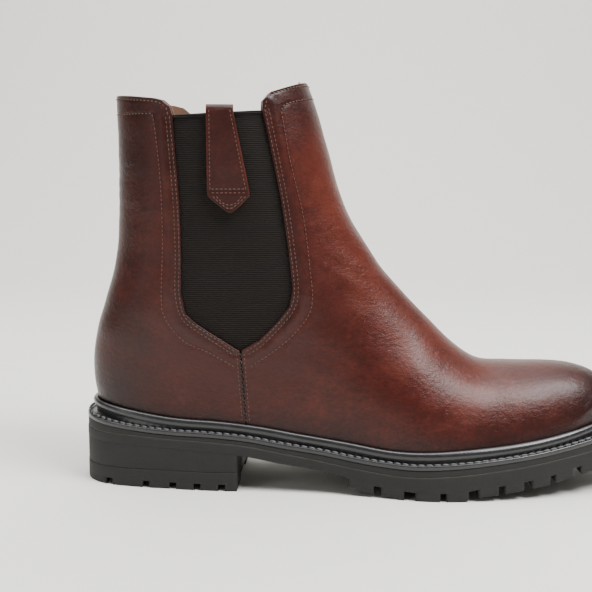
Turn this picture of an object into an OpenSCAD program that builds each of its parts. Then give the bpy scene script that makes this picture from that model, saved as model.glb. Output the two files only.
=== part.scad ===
// Chelsea boot, right foot: a welted ankle boot with an elastic gusset (gore) on each side.
// +X points to the toe, +Y to the inner (medial) side, +Z up. The origin is on the ground,
// under the middle of the boot's outline box.

/* [Upper] */
// Thickness of the outer leather
leather_t = 1.7; // [1.2:0.1:2.2]
// Thickness of the stiffeners, tapes and elastic between leather and lining
middle_t = 0.8; // [0.6:0.1:1.2]
// Thickness of the lining leather
lining_t = 1.0; // [0.7:0.1:1.2]
// Width of the elastic hidden under the leather at each side
gore_margin = 6; // [4:1:8]
// Height of the reinforcing tape inside the collar
collar_tape_h = 12; // [8:1:14]

/* [Pull tabs] */
// Width of the pull tab at its top
tab_top_w = 13; // [10:0.1:15]
// Width of the pull tab at its shoulder
tab_low_w = 21.4; // [18:0.1:24]
// Thickness of the pull tab
tab_t = 1.6; // [1.2:0.1:2]
// Height of the stitched line that the tab lifts about
tab_hinge_z = 155.3; // [150:0.1:160]

/* [Welt and sole] */
// Height of the rounded welt lip over the feather line
lip_h = 5; // [4:0.5:6]
// How far the welt stands out from the upper at the sides
welt_w = 4.4; // [3.5:0.1:5.5]
// How much further it stands out at the toe and at the back
welt_end_w = 2.4; // [1:0.1:3]
// Thickness of the welt strip
welt_t = 2.6; // [2:0.1:3]
// Depth of the gaps between the forepart lugs
lug_depth = 4.3; // [3:0.1:5]
// Height of the rubber heel top piece
top_piece_h = 9.8; // [7:0.1:11]
// Depth of the gaps between the heel lugs
heel_lug_depth = 3.4; // [2:0.1:4]
// Number of nails that hold the heel
nail_count = 7; // [5:1:9]

/* [Hidden] */

lateral = -1;
medial = 1;
gap = 0.45;             // air between neighbouring layers of one body
bed_gap = 0.12;         // air between the flat layers of the bottom
round_p = 2.3;          // roundness of the sections: 2 is an ellipse, more is boxier
probe = 0.05;           // step of the numeric normal

// Depths below the outer leather surface at which the layers start
middle_d = leather_t + gap;
lining_d = middle_d + middle_t + gap;
inside_d = lining_d + lining_t;

// Ridge of the upper from the collar's front over the instep to the toe: x, z, rounding depth
RIDGE = [[-28.1, 211, 50], [-24.7, 202, 50], [-17.8, 179.5, 51], [-9.3, 150, 53], [3, 127, 57],
    [17, 107.7, 63], [33, 90.8, 66], [50.5, 73.5, 62], [64, 65, 55], [80, 63.6, 49], [99, 63.6, 42],
    [114, 62.5, 33], [125.5, 58.6, 24], [133, 52, 16], [138.5, 43.5, 9.5], [141.2, 33, 4.5]];
// Back line of the upper: x at each height
BACK_X = [[32, -140], [38, -141], [45, -142.4], [54, -143.8], [64, -144], [79, -141.9],
    [95.4, -137.1], [106.5, -133.6], [120, -130.3], [136, -128.7], [165, -127.9], [185, -128],
    [212, -129]];
// Rounding depth behind, at each height
BACK_ROUND = [[32, 44], [60, 40], [85, 38], [120, 42], [160, 47], [212, 50]];
// Front of the toe at each height just over the feather line
TOE_X = [[27, 142], [33, 141.2], [37.5, 139.8], [42, 138]];
// Half-width of the foot part at each x, outer and inner side
WIDTH_LATERAL = [[-142.4, 27], [-112, 27.2], [-98, 28], [-88, 29.6], [-72, 31], [-63, 31.2],
    [-45, 32], [-15, 34.5], [10, 39], [30, 43.6], [42, 44.4], [60, 43.4], [85, 38.6], [105, 32],
    [120, 24.5], [130, 16.5], [137, 9.5], [141.3, 3.5]];
WIDTH_MEDIAL = [[-142.4, 26.8], [-105, 27.5], [-75, 27.5], [-45, 26.8], [-15, 27.8], [5, 32],
    [25, 38.8], [45, 43.4], [58, 44.4], [75, 43.8], [95, 40], [113, 33], [125, 25.5], [134, 17.5],
    [141.3, 4.5]];
// Half-width of the shaft at each height
WIDTH_SHAFT = [[98, 34.3], [124, 35], [154, 36.5], [184, 37.8], [212, 38]];
foot_top_z = 45;        // below this the foot's widths hold
shaft_low_z = 103;      // above this the shaft's widths hold

// Feather line, where the upper turns in to the sole: z at each x
FEATHER_Z = [[-141, 38.3], [-120, 35.2], [-98, 32.1], [-72, 30.8], [-50, 28.3], [-30, 25.1],
    [-4, 21.5], [16, 18.9], [36, 19.1], [56, 20.5], [76, 22.3], [97, 25.3], [119, 30], [141, 36.5]];
// Top of the welt strip, and the joint of midsole and outsole: z at each x
WELT_Z = [[-148, 37.2], [-137, 35.4], [-120, 32.9], [-98, 31.1], [-82, 30.8], [-70, 30.1],
    [-56, 28.6], [-41, 26.1], [-20, 23.2], [5, 19.4], [25, 18.1], [40, 18.6], [55, 19.7],
    [76, 21.9], [97, 24.8], [118, 29], [148, 36.3]];
JOINT_Z = [[-148, 28.5], [-113, 27.1], [-98, 26.3], [-82, 25.8], [-66, 24.7], [-56, 23.6],
    [-41, 20.9], [-25, 18.2], [-10, 15.5], [6, 13.2], [16, 12.1], [28, 11.9], [45, 12.8],
    [65, 14.7], [86, 17.3], [107, 20.5], [118, 22.2], [148, 27.5]];
// Underside of the outsole at each x: heel seat, waist, then the lugs' ground line
heel_front_x = -63.1;
lugs_back_x = -5.5;
WAIST_Z = [[-148, 23.5], [-100, 21.5], [-63, 19.1], [-53, 17.6], [-40.6, 15.3], [-25, 13.1],
    [-10, 10.3], [-5.5, 9.4]];
GROUND_Z = [[-5.5, 4.5], [7, 1.8], [12, 1.3], [22.6, 0.3], [28, 0], [44, 0], [55, 1], [60, 1.9],
    [70, 3.1], [83, 4.8], [97, 7], [109, 9.9], [120, 12], [148, 18.5]];

// Gore: rear edge and front edge, row by row from the top
GORE_ROWS = [[-94.4, 192.6, -49.1, 195.7], [-93.2, 177.2, -45.7, 179.7],
    [-91.3, 148.6, -40, 150.7], [-90.8, 123, -36.2, 124.7], [-91.2, 103.4, -34.3, 105.7],
    [-88.8, 92.1, -36, 96.7], [-83.1, 86.9, -42.5, 88.3], [-71.5, 79.4, -51.4, 79.1],
    [-63.5, 73.9, -58.9, 73.9]];
// Rear leather above the bend: front edge x, z and the height reached on the back line
QUARTER_ROWS = [[-105, 201.5, 204.1], [-99.6, 200.3, 202.3], [-95.6, 197.2, 199],
    [-94.2, 193.2, 194.5], [-93.2, 177.2, 175.8], [-91.3, 148.6, 145.6], [-90.8, 123, 119.4],
    [-91.2, 103.4, 98.2], [-88.8, 92.1, 87.1], [-83.1, 86.9, 80.1], [-71.5, 79.4, 73],
    [-63.5, 74.3, 67]];
// Rear leather below the bend: side seam x, z and the height reached on the back line
HEEL_ROWS = [[-62.4, 73.7, 66.2], [-61.4, 63.5, 57.9], [-60.4, 49.5, 48.8], [-59.5, 39.4, 41.8]];
// Front leather: gore edge and side seam x, z, and the ridge station reached
VAMP_ROWS = [[-38.8, 206.7, 0], [-45.1, 204.4, 0.3], [-48.8, 200.2, 0.7], [-49.1, 194.7, 1.1],
    [-45.7, 179.7, 2], [-40, 150.7, 3.1], [-36.2, 124.7, 4], [-34.3, 105.7, 4.7],
    [-36, 96.7, 5.1], [-42.5, 88.3, 5.5], [-51.4, 79.1, 5.9], [-59.2, 73.8, 6.25],
    [-58.6, 53.5, 6.7]];
// Front leather along the feather line: x and the ridge station reached
VAMP_FEATHER = [[-58.2, 7.1], [-35, 7.5], [-10, 8], [15, 8.5], [40, 9.05], [62, 9.6], [83, 10.25],
    [102, 11.1], [118, 12.1], [129, 13.4], [134.5, 14.6]];

leather_brown = "#6e3228";
leather_light = "#8c4a3a";
elastic_black = "#25201e";
lining_tan = "#a98a6c";
rubber_black = "#2b2a29";
stiffener_grey = "#9a938a";
thread_grey = "#4b4947";

// ---------------------------------------------------------------- curves

function clamp(v, lo, hi) = min(max(v, lo), hi);
function mix(a, b, u) = a + (b - a) * u;
function ease(u) = let (c = clamp(u, 0, 1)) c * c * (3 - 2 * c);

function knot(tab, x, i = 0) =
    i >= len(tab) - 2 || x < tab[i + 1][0] ? i : knot(tab, x, i + 1);
function slope(tab, i) =
    let (a = max(i - 1, 0), b = min(i + 1, len(tab) - 1))
    (tab[b][1] - tab[a][1]) / (tab[b][0] - tab[a][0]);

// Smooth curve through the points [x, value] of a table
function smooth(tab, x) =
    let (
        xc = clamp(x, tab[0][0], tab[len(tab) - 1][0]),
        i = knot(tab, xc),
        h = tab[i + 1][0] - tab[i][0],
        u = (xc - tab[i][0]) / h
    )
    (2 * u * u * u - 3 * u * u + 1) * tab[i][1] + (u * u * u - 2 * u * u + u) * h * slope(tab, i)
    + (3 * u * u - 2 * u * u * u) * tab[i + 1][1] + (u * u * u - u * u) * h * slope(tab, i + 1);

// Straight interpolation between the rows of a table, at station q
function station(rows, q) =
    let (i = min(floor(q), len(rows) - 2))
    mix(rows[i], rows[i + 1], q - i);

function ridge_tangent(i) =
    let (a = max(i - 1, 0), b = min(i + 1, len(RIDGE) - 1))
    (RIDGE[b] - RIDGE[a]) / (b - a);
function ridge_curve(q) =
    let (i = min(floor(q), len(RIDGE) - 2), u = q - i)
    (2 * u * u * u - 3 * u * u + 1) * RIDGE[i] + (u * u * u - 2 * u * u + u) * ridge_tangent(i)
    + (3 * u * u - 2 * u * u * u) * RIDGE[i + 1] + (u * u * u - u * u) * ridge_tangent(i + 1);

// The ridge as a fine chain of straight stretches, which the distances are taken from
ridge_parts = 3;
RIDGE_LINE = [for (i = [0:ridge_parts * (len(RIDGE) - 1)]) ridge_curve(i / ridge_parts)];
function ridge(q) = station(RIDGE_LINE, q * ridge_parts);

// ---------------------------------------------------------------- surface of the upper

// Distance into the boot from one stretch of the ridge, and the rounding depth there
function from_stretch(x, z, i) =
    let (
        a = RIDGE_LINE[i],
        b = RIDGE_LINE[i + 1],
        run = [b[0] - a[0], b[1] - a[1]],
        rel = [x - a[0], z - a[1]],
        u = clamp((rel * run) / (run * run), 0, 1),
        off = rel - u * run,
        inward = rel[0] * run[1] - rel[1] * run[0] >= 0 ? 1 : -1
    )
    [norm(off), mix(a[2], b[2], u), inward];

function nearest(x, z, i = 0, best = [1000, 1, 1]) =
    i > len(RIDGE_LINE) - 2 ? best
    : let (here = from_stretch(x, z, i)) nearest(x, z, i + 1, here[0] < best[0] ? here : best);

function front_share(x, z) =
    let (n = nearest(x, z))
    pow(clamp(1 - n[2] * n[0] / n[1], 0, 2), round_p);
function back_share(x, z) =
    pow(clamp(1 - (x - smooth(BACK_X, z)) / smooth(BACK_ROUND, z), 0, 2), round_p);
function half_width(x, z, side) =
    let (
        foot = smooth(side < 0 ? WIDTH_LATERAL : WIDTH_MEDIAL, x),
        shaft = smooth(WIDTH_SHAFT, z)
    )
    mix(foot, shaft, ease((z - foot_top_z) / (shaft_low_z - foot_top_z)));

// Point of the outer surface over a place (x, z) of the side view
function skin_y(x, z, side) =
    side * half_width(x, z, side)
    * pow(max(0, 1 - front_share(x, z) - back_share(x, z)), 1 / round_p);

function level(p, side) =
    pow(abs(p[1]) / half_width(p[0], p[2], side), round_p)
    + front_share(p[0], p[2]) + back_share(p[0], p[2]);
function outward(p, side) =
    let (
        g = [for (e = [[probe, 0, 0], [0, probe, 0], [0, 0, probe]])
            level(p + e, side) - level(p - e, side)]
    )
    g / norm(g);

// Point at a depth below the outer surface
function under(x, z, side, depth) =
    let (p = [x, skin_y(x, z, side), z])
    p - depth * outward(p, side);

// ---------------------------------------------------------------- building closed sheets

// Faces of a grid of points, rows by cols, whose first point has the index base
function grid_faces(rows, cols, base, flip) =
    [for (r = [0:rows - 2], c = [0:cols - 2], half = [0, 1])
        let (
            a = base + r * cols + c,
            b = a + 1,
            d = a + cols,
            e = d + 1
        )
        half == 0 ? (flip ? [a, b, e] : [a, e, b]) : (flip ? [a, e, d] : [a, d, e])];

function rim_faces(loop, shift) =
    [for (i = [0:len(loop) - 1], half = [0, 1])
        let (a = loop[i], b = loop[(i + 1) % len(loop)])
        half == 0 ? [a, b, b + shift] : [a, b + shift, a + shift]];

// A closed sheet between an outer and an inner grid of points
module sheet(outer, inner, flip = false) {
    rows = len(outer);
    cols = len(outer[0]);
    count = rows * cols;
    loop = concat(
        [for (c = [0:cols - 2]) c],
        [for (r = [0:rows - 2]) r * cols + cols - 1],
        [for (c = [cols - 1:-1:1]) (rows - 1) * cols + c],
        [for (r = [rows - 1:-1:1]) r * cols]);
    turned = [for (i = [len(loop) - 1:-1:0]) loop[i]];
    polyhedron(
        points = concat([for (r = outer, p = r) p], [for (r = inner, p = r) p]),
        faces = concat(
            grid_faces(rows, cols, 0, !flip),
            grid_faces(rows, cols, count, flip),
            rim_faces(flip ? loop : turned, count)),
        convexity = 10);
}

// A closed ring of sections, each with the same number of points
module ring(sections, flip = false) {
    n = len(sections);
    m = len(sections[0]);
    polyhedron(
        points = [for (s = sections, p = s) p],
        faces = [for (i = [0:n - 1], j = [0:m - 1], half = [0, 1])
            let (
                a = i * m + j,
                b = i * m + (j + 1) % m,
                d = ((i + 1) % n) * m + j,
                e = ((i + 1) % n) * m + (j + 1) % m
            )
            half == 0 ? (flip ? [a, e, b] : [a, b, e]) : (flip ? [a, d, e] : [a, e, d])],
        convexity = 10);
}

// Signed shares over the centre line, where -1 and 1 are the edges on the outer and inner side
function across(count, reach) = [for (i = [-reach:reach]) i / count];

// Rows over the centre line: each runs from its edge on the outer side to its edge on the inner,
// or only as far as the column named by reach
function wrapped(rows, count, depth, reach) =
    [for (row = rows)
        [for (c = across(count, reach))
            let (side = c < 0 ? lateral : medial, share = c * c)
            under(mix(row[2], row[0], share), mix(row[3], row[1], share), side, depth)]];

function fine(rows, per) = [for (i = [0:per * (len(rows) - 1)]) station(rows, i / per)];

// Edge and centre points of each row of the front leather
function front_rows(per) =
    let (
        whole = concat(VAMP_ROWS, [for (v = VAMP_FEATHER) [v[0], smooth(FEATHER_Z, v[0]), v[1]]])
    )
    [for (r = fine(whole, per)) let (top = ridge(r[2])) [r[0], r[1], top[0], top[1]]];

// Edge and back points of each row of the rear leather
function back_rows(rows, per) =
    [for (r = fine(rows, per)) [r[0], r[1], smooth(BACK_X, r[2]), r[2]]];

function heel_rows(per) =
    back_rows(concat(HEEL_ROWS, [[-59, smooth(FEATHER_Z, -59), smooth(FEATHER_Z, -141)]]), per);

module front_sheet(rows, count, from, to) {
    sheet(wrapped(rows, count, from, count), wrapped(rows, count, to, count));
}

module back_sheet(rows, count, from, to, reach) {
    sheet(wrapped(rows, count, from, reach), wrapped(rows, count, to, reach), flip = true);
}

// A patch on one side between the left and right ends of its rows
module patch(rows, count, side, from, to) {
    outer = [for (r = rows) [for (i = [0:count])
        under(mix(r[0], r[2], i / count), mix(r[1], r[3], i / count), side, from)]];
    inner = [for (r = rows) [for (i = [0:count])
        under(mix(r[0], r[2], i / count), mix(r[1], r[3], i / count), side, to)]];
    sheet(outer, inner, flip = side > 0);
}

// ---------------------------------------------------------------- upper

front_cols = 9;                     // columns of the front sheets from the edge to the ridge
back_cols = 9;                      // columns of the rear sheets above the bend
heel_cols = 10;                     // columns of the rear sheets below the bend
counter_cols = 8;                   // how many of them the heel counter covers
puff_rows = 9;                      // rows of the front sheet that the toe puff covers

module vamp() {
    color(leather_brown) front_sheet(front_rows(2), front_cols, 0, leather_t);
}

module quarter_upper() {
    color(leather_brown) back_sheet(back_rows(QUARTER_ROWS, 2), back_cols, 0, leather_t, back_cols);
}

module quarter_lower() {
    color(leather_brown) back_sheet(heel_rows(2), heel_cols, 0, leather_t, heel_cols);
}

module vamp_lining() {
    color(lining_tan) front_sheet(front_rows(2), front_cols, lining_d, inside_d);
}

module back_lining() {
    rows = back_rows(QUARTER_ROWS, 1);
    color(lining_tan) back_sheet(rows, back_cols, lining_d, inside_d, back_cols);
}

module heel_lining() {
    color(lining_tan) back_sheet(heel_rows(1), heel_cols, lining_d, inside_d, heel_cols);
}

// Moulded stiffener round the heel, under the bend line
module heel_counter() {
    color(stiffener_grey)
        back_sheet(heel_rows(2), heel_cols, middle_d, middle_d + middle_t, counter_cols);
}

// Moulded stiffener over the toe
module toe_puff() {
    all = front_rows(2);
    rows = [for (i = [len(all) - puff_rows:len(all) - 1]) all[i]];
    color(stiffener_grey) front_sheet(rows, front_cols, middle_d, middle_d + middle_t);
}

// Tape inside the front collar, level with the ears of the front leather
module collar_tape_front() {
    rows = [for (r = fine([[-37, 206.6, 0.1], [-39, 200.5, 0.7], [-38, 193.5, 1.2]], 2))
        let (top = ridge(r[2])) [r[0], r[1], top[0], top[1]]];
    color(stiffener_grey) front_sheet(rows, 6, middle_d, middle_d + middle_t);
}

module collar_tape_back() {
    rows = [for (u = [0, 0.5, 1])
        let (z = 202.7 - u * collar_tape_h) [-104.8, z - 2.3, smooth(BACK_X, z), z]];
    color(stiffener_grey) back_sheet(rows, back_cols, middle_d, middle_d + middle_t, back_cols);
}

// Backing strip along the side seam, from under the gore to the feather line
module side_tape(side) {
    rows = [for (u = [0:0.2:1])
        let (z = mix(67, smooth(FEATHER_Z, -60), u)) [-63.6 + 1.5 * u, z, -57 + 1.5 * u, z]];
    color(stiffener_grey) patch(rows, 3, side, middle_d, middle_d + middle_t);
}

// Ribbed elastic panel, with its margins under the leather
module gore(side) {
    visible = concat(GORE_ROWS, [[-63.3, 70.5, -59.3, 70.5]]);
    rows = [for (r = fine(visible, 2)) [r[0] - gore_margin, r[1], r[2] + gore_margin, r[3]]];
    color(elastic_black) patch(rows, 8, side, middle_d, middle_d + middle_t);
}

// Half-width of the pull tab at a height
function tab_half(z) = mix(tab_low_w, tab_top_w, clamp((z - tab_hinge_z) / tab_rise, 0, 1)) / 2;
function tab_x(z) = mix(-66.4, -70.6, (z - tab_hinge_z) / tab_rise);
tab_top_z = 194.8;
tab_rise = 43;                      // height over which the tab narrows
tab_point_z = 144.3;
tab_out_d = -0.9;                   // depth of the tab's outer face: negative stands proud
fold_rise = 3.2;                    // how far the fold stands over the gore's edge
tab_lift_gap = 0.35;                // air between the tab's moving and fixed pieces

// Outer leg of the tab, from the stitched line to the crown of the fold
module pull_tab(side) {
    zs = [for (u = [0:0.125:1]) mix(tab_hinge_z + tab_lift_gap, tab_top_z, u)];
    crown = [for (u = [0.25:0.25:1]) u];
    outer = concat(
        [for (z = zs) [for (i = [-3:3])
            under(tab_x(z) + i / 3 * tab_half(z), z, side, tab_out_d)]],
        [for (u = crown) [for (i = [-3:3])
            under(tab_x(tab_top_z) + i / 3 * tab_half(tab_top_z),
                tab_top_z + fold_rise * sin(90 * u), side, mix(tab_out_d, 1.6, 1 - cos(90 * u)))]]);
    inner = concat(
        [for (z = zs) [for (i = [-3:3])
            under(tab_x(z) + i / 3 * tab_half(z), z, side, tab_out_d + tab_t)]],
        [for (u = crown) [for (i = [-3:3])
            under(tab_x(tab_top_z) + i / 3 * tab_half(tab_top_z),
                tab_top_z + (fold_rise - tab_t) * sin(90 * u), side,
                mix(tab_out_d + tab_t, 1.6, 1 - cos(90 * u)))]]);
    color(leather_light) sheet(outer, inner, flip = side < 0);
}

// Stitched pointed end outside, and the inner leg with its half of the fold
module tab_anchor(side) {
    low = [[tab_point_z, 2], [147.3, 10], [150.8, 18.5], [153.2, 21.2], [tab_hinge_z, 21.2]];
    end_rows = [for (p = low)
        [tab_x(p[0]) - p[1] / 2, p[0], tab_x(p[0]) + p[1] / 2, p[0]]];
    turned = [for (i = [len(end_rows) - 1:-1:0]) end_rows[i]];
    color(leather_light) patch(turned, 4, side, tab_out_d, middle_d - gap);
    inner_d = inside_d + 0.3;
    zs = [168, 178, 188, tab_top_z];
    leg_out = concat(
        [for (z = zs) [for (i = [-3:3])
            under(tab_x(z) + i / 3 * 6.5, z, side, inner_d + tab_t)]],
        [for (u = [0.25:0.25:1]) [for (i = [-3:3])
            under(tab_x(tab_top_z) + i / 3 * 6.5, tab_top_z + fold_rise * sin(90 * u), side,
                mix(inner_d + tab_t, 1.6 + tab_lift_gap, 1 - cos(90 * u)))]]);
    leg_in = concat(
        [for (z = zs) [for (i = [-3:3]) under(tab_x(z) + i / 3 * 6.5, z, side, inner_d)]],
        [for (u = [0.25:0.25:1]) [for (i = [-3:3])
            under(tab_x(tab_top_z) + i / 3 * 6.5, tab_top_z + (fold_rise - tab_t) * sin(90 * u),
                side, mix(inner_d, 1.6 + tab_lift_gap, 1 - cos(90 * u)))]]);
    color(leather_light) sheet(leg_out, leg_in, flip = side > 0);
}

// ---------------------------------------------------------------- plan outlines

steps = 40;                         // stations along each side of the boot

// Contour of the upper at a height over the feather line, from the back (0) to the toe (1)
function contour(u, side, rise) =
    let (
        back = smooth(BACK_X, smooth(FEATHER_Z, -141) + rise),
        toe = smooth(TOE_X, smooth(FEATHER_Z, 141) + rise),
        x = mix(back, toe, (1 - cos(180 * u)) / 2),
        z = smooth(FEATHER_Z, x) + rise
    )
    [x, skin_y(x, z, side), z];

// All stations round the boot: [share from the back, side]
ROUND = concat(
    [for (i = [0:steps]) [i / steps, lateral]],
    [for (i = [steps - 1:-1:1]) [i / steps, medial]]);

function edge_at(rise) = [for (s = ROUND) contour(s[0], s[1], rise)];
function turned_out(loop, i) =
    let (
        n = len(loop),
        run = loop[(i + 1) % n] - loop[(i + n - 1) % n],
        out = [run[1], -run[0]]
    )
    out / norm(out);
function spread(loop, i, by) =
    let (out = turned_out(loop, i)) [loop[i][0] + by * out[0], loop[i][1] + by * out[1]];

// How far the sole's edge stands out from the feather line
function edge_w(x) = welt_w + welt_end_w * (ease((x - 99) / 40) + ease((-114 - x) / 25));

// Plan of the feather line moved outwards by a share of the sole's edge plus a distance
function plan(share, by) =
    let (loop = edge_at(0)) [for (i = [0:len(loop) - 1]) spread(loop, i, share * edge_w(loop[i][0]) + by)];

// Solid with a plan outline and, seen from the side, between two curves of x
module slab(outline, from_x, to_x, low, high, count = 24) {
    xs = [for (i = [0:count]) mix(from_x, to_x, i / count)];
    profile = concat(
        [for (x = xs) [x, smooth(low, x)]],
        [for (i = [count:-1:0]) [xs[i], smooth(high, xs[i])]]);
    intersection() {
        translate([0, 0, -5]) linear_extrude(height = 80) polygon(outline);
        rotate([90, 0, 0]) linear_extrude(height = 130, center = true) polygon(profile);
    }
}

function shifted(tab, by) = [for (p = tab) [p[0], p[1] + by]];

// ---------------------------------------------------------------- bottom

insole_t = 2.4;
insole_low = 0.2;                   // insole's underside over the feather line
pad_t = 1.6;                        // thickness of the heel cushion
footbed_t = 4;
wall_in = -(inside_d + 0.9);        // plan of the room inside the upper

module insole_board() {
    color("#b08d66") slab(plan(0, wall_in), -139.5, 132.5, shifted(FEATHER_Z, insole_low),
        shifted(FEATHER_Z, insole_low + insole_t), 45);
}

// Heel cushion: a round-ended pad let in over the insole
module heel_pad() {
    low = shifted(FEATHER_Z, insole_low + insole_t + 2 * bed_gap);
    color("#d8cfa8") intersection() {
        slab(plan(0, wall_in - 6), -139, -74, low, shifted(low, pad_t), 20);
        translate([-105, 0, 0]) cylinder(h = 80, r = 31, $fn = 64);
    }
}

module footbed() {
    base = insole_low + insole_t + 2 * bed_gap;
    over_pad = pad_t + 2 * bed_gap;
    low = [for (x = [-141:6:141])
        [x, smooth(FEATHER_Z, x) + base + over_pad * ease((-58 - x) / 10)]];
    color("#7a5a44") slab(plan(0, wall_in), -139.5, 132.5, low,
        shifted(FEATHER_Z, base + footbed_t), 45);
}

// Upright canvas rib under the insole that the welt is sewn to
module insole_rib() {
    loop = edge_at(0);
    sections = [for (i = [0:len(loop) - 1])
        let (
            a = spread(loop, i, -6),
            b = spread(loop, i, -7.6),
            a_top = smooth(FEATHER_Z, a[0]) + insole_low - 3 * bed_gap,
            b_top = smooth(FEATHER_Z, b[0]) + insole_low - 3 * bed_gap,
            a_low = min(smooth(WELT_Z, a[0]) - welt_t + bed_gap, a_top - 1),
            b_low = min(smooth(WELT_Z, b[0]) - welt_t + bed_gap, b_top - 1)
        )
        [[a[0], a[1], a_top], [b[0], b[1], b_top], [b[0], b[1], b_low], [a[0], a[1], a_low]]];
    color("#e6dfcf") ring(sections);
}

shank_back_x = -88;
shank_front_x = 12;
shank_t = 1.4;

// Steel strip that stiffens the waist
module shank() {
    low = shifted(FEATHER_Z, insole_low - 2 * bed_gap - shank_t);
    color("#8f949a") intersection() {
        slab(plan(0, -9), shank_back_x, shank_front_x, low, shifted(low, shank_t), 24);
        translate([(shank_back_x + shank_front_x) / 2, 0, 0])
            cube([shank_front_x - shank_back_x, 14, 200], center = true);
    }
}

// Cork that fills the room between the ribs in the forepart
module cork_filler() {
    low = shifted(WELT_Z, bed_gap - welt_t);
    color("#b98b5b") slab(plan(0, -8.4), shank_front_x + 2, 131, low,
        shifted(FEATHER_Z, insole_low - 3 * bed_gap), 24);
}

welt_room = 0.55;                   // air between the welt and the upper
seat_drop = 1.3;                    // how far under the feather line the welt's seat lies

// Storm welt: a strip round the whole boot with a rounded lip against the upper
module welt() {
    foot = edge_at(0);
    mid = edge_at(lip_h * 0.3);
    high = edge_at(lip_h * 0.75);
    top = edge_at(lip_h);
    sections = [for (i = [0:len(foot) - 1])
        let (
            lip_in = spread(top, i, welt_room),
            crest = spread(top, i, 1.7),
            belly = spread(high, i, 3.1),
            waist = spread(mid, i, 3.2),
            recess = spread(foot, i, 2.2),
            edge = spread(foot, i, edge_w(foot[i][0])),
            seat = spread(foot, i, -4.6),
            wall = spread(foot, i, welt_room)
        )
        [[lip_in[0], lip_in[1], top[i][2]], [crest[0], crest[1], top[i][2] + 0.6],
            [belly[0], belly[1], high[i][2]], [waist[0], waist[1], mid[i][2]],
            [recess[0], recess[1], smooth(WELT_Z, recess[0])],
            [edge[0], edge[1], smooth(WELT_Z, edge[0])],
            [edge[0], edge[1], smooth(WELT_Z, edge[0]) - welt_t],
            [seat[0], seat[1], smooth(WELT_Z, seat[0]) - welt_t],
            [seat[0], seat[1], smooth(FEATHER_Z, seat[0]) - seat_drop],
            [wall[0], wall[1], smooth(FEATHER_Z, wall[0]) - seat_drop]]];
    color(rubber_black) ring(sections, flip = true);
}

// Lockstitch thread that joins welt, midsole and outsole
module welt_thread() {
    loop = edge_at(0);
    r = 0.55;
    sections = [for (i = [0:len(loop) - 1])
        let (
            w = edge_w(loop[i][0]) - 1.5,
            a = spread(loop, i, w - r),
            b = spread(loop, i, w + r),
            az = smooth(WELT_Z, a[0]),
            bz = smooth(WELT_Z, b[0])
        )
        [[a[0], a[1], az - r / 2], [a[0], a[1], az + r / 2], [b[0], b[1], bz + r / 2],
            [b[0], b[1], bz - r / 2]]];
    color(thread_grey) ring(sections, flip = true);
}

module midsole() {
    color(rubber_black) slab(plan(1, -0.1), -150, 150, shifted(JOINT_Z, 0.1),
        shifted(WELT_Z, -welt_t - 0.3), 50);
}

lug_gaps = [[9.3, 3.6], [25.5, 5.6], [42.2, 3.1], [57.4, 4.9], [71.7, 3.1], [85.2, 4.3],
    [98.2, 2.8], [111.3, 4.4]];
heel_gaps = [-132.1, -111.5, -97.1, -84.1, -71.2];
heel_gap_w = 3.6;

// Gaps that run in from both edges, leaving a middle field
module edge_gap(x, w, low, deep, middle) {
    for (side = [lateral, medial])
        translate([x - w / 2, side > 0 ? middle : -60 - middle, low - 3]) cube([w, 60, deep + 3]);
}

module outsole() {
    waist = [for (x = [-150, -122, -100, -82, heel_front_x, -53, -41, -30, -20, -10, lugs_back_x])
        [x, smooth(WAIST_Z, x)]];
    lugs = [for (x = [lugs_back_x, 1, 7, 13, 20, 28, 44, 52, 60, 67, 74, 83, 90, 97, 104, 111, 120, 134, 150])
        [x, smooth(GROUND_Z, x)]];
    top = [for (x = [150:-6:-150]) [x, smooth(JOINT_Z, x) - 0.05]];
    color(rubber_black) difference() {
        intersection() {
            translate([0, 0, -5]) linear_extrude(height = 60) polygon(plan(1, 0.15));
            rotate([90, 0, 0]) linear_extrude(height = 130, center = true)
                polygon(concat(waist, lugs, top));
        }
        for (g = lug_gaps)
            edge_gap(g[0], g[1], smooth(GROUND_Z, g[0]), lug_depth, 19);
        for (i = [0:len(lug_gaps) - 2])
            let (x = (lug_gaps[i][0] + lug_gaps[i + 1][0]) / 2)
                translate([x - 1.8, -16, smooth(GROUND_Z, x) - 3]) cube([3.6, 32, lug_depth + 3]);
    }
}

module heel_block() {
    base = [[-150, top_piece_h + 0.1], [heel_front_x, top_piece_h + 0.1]];
    color(rubber_black) slab(plan(1, 0), -150, heel_front_x, base, shifted(WAIST_Z, -0.3), 12);
}

module heel_top_piece() {
    color(rubber_black) difference() {
        intersection() {
            linear_extrude(height = top_piece_h) polygon(plan(1, 0.3));
            translate([-152, -60, -1]) cube([152 + heel_front_x, 120, 40]);
        }
        for (x = heel_gaps)
            edge_gap(x, heel_gap_w, 0, heel_lug_depth, 16);
        for (x = [-119, -104, -90.5])
            translate([x - 1.5, -13, -3]) cube([3, 26, heel_lug_depth + 3]);
    }
}

nail_r = 0.9;
nail_head_r = 2;
nail_low_z = 11;                    // height of the nails' points
heel_middle_x = -107;               // middle of the horseshoe of nails

// Nails in a horseshoe, driven from the insole into the heel
module heel_nails() {
    color("#b9a46a")
        for (i = [0:nail_count - 1])
            let (
                turn = mix(60, 300, i / (nail_count - 1)),
                x = heel_middle_x + 19 * cos(turn),
                rise = smooth(FEATHER_Z, x) + insole_low + insole_t - nail_low_z
            )
                translate([x, 15.5 * sin(turn), nail_low_z])
                    union() {
                        cylinder(h = rise - 0.5, r = nail_r, $fn = 24);
                        translate([0, 0, rise - 1]) cylinder(h = 1, r = nail_head_r, $fn = 24);
                    }
}

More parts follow.
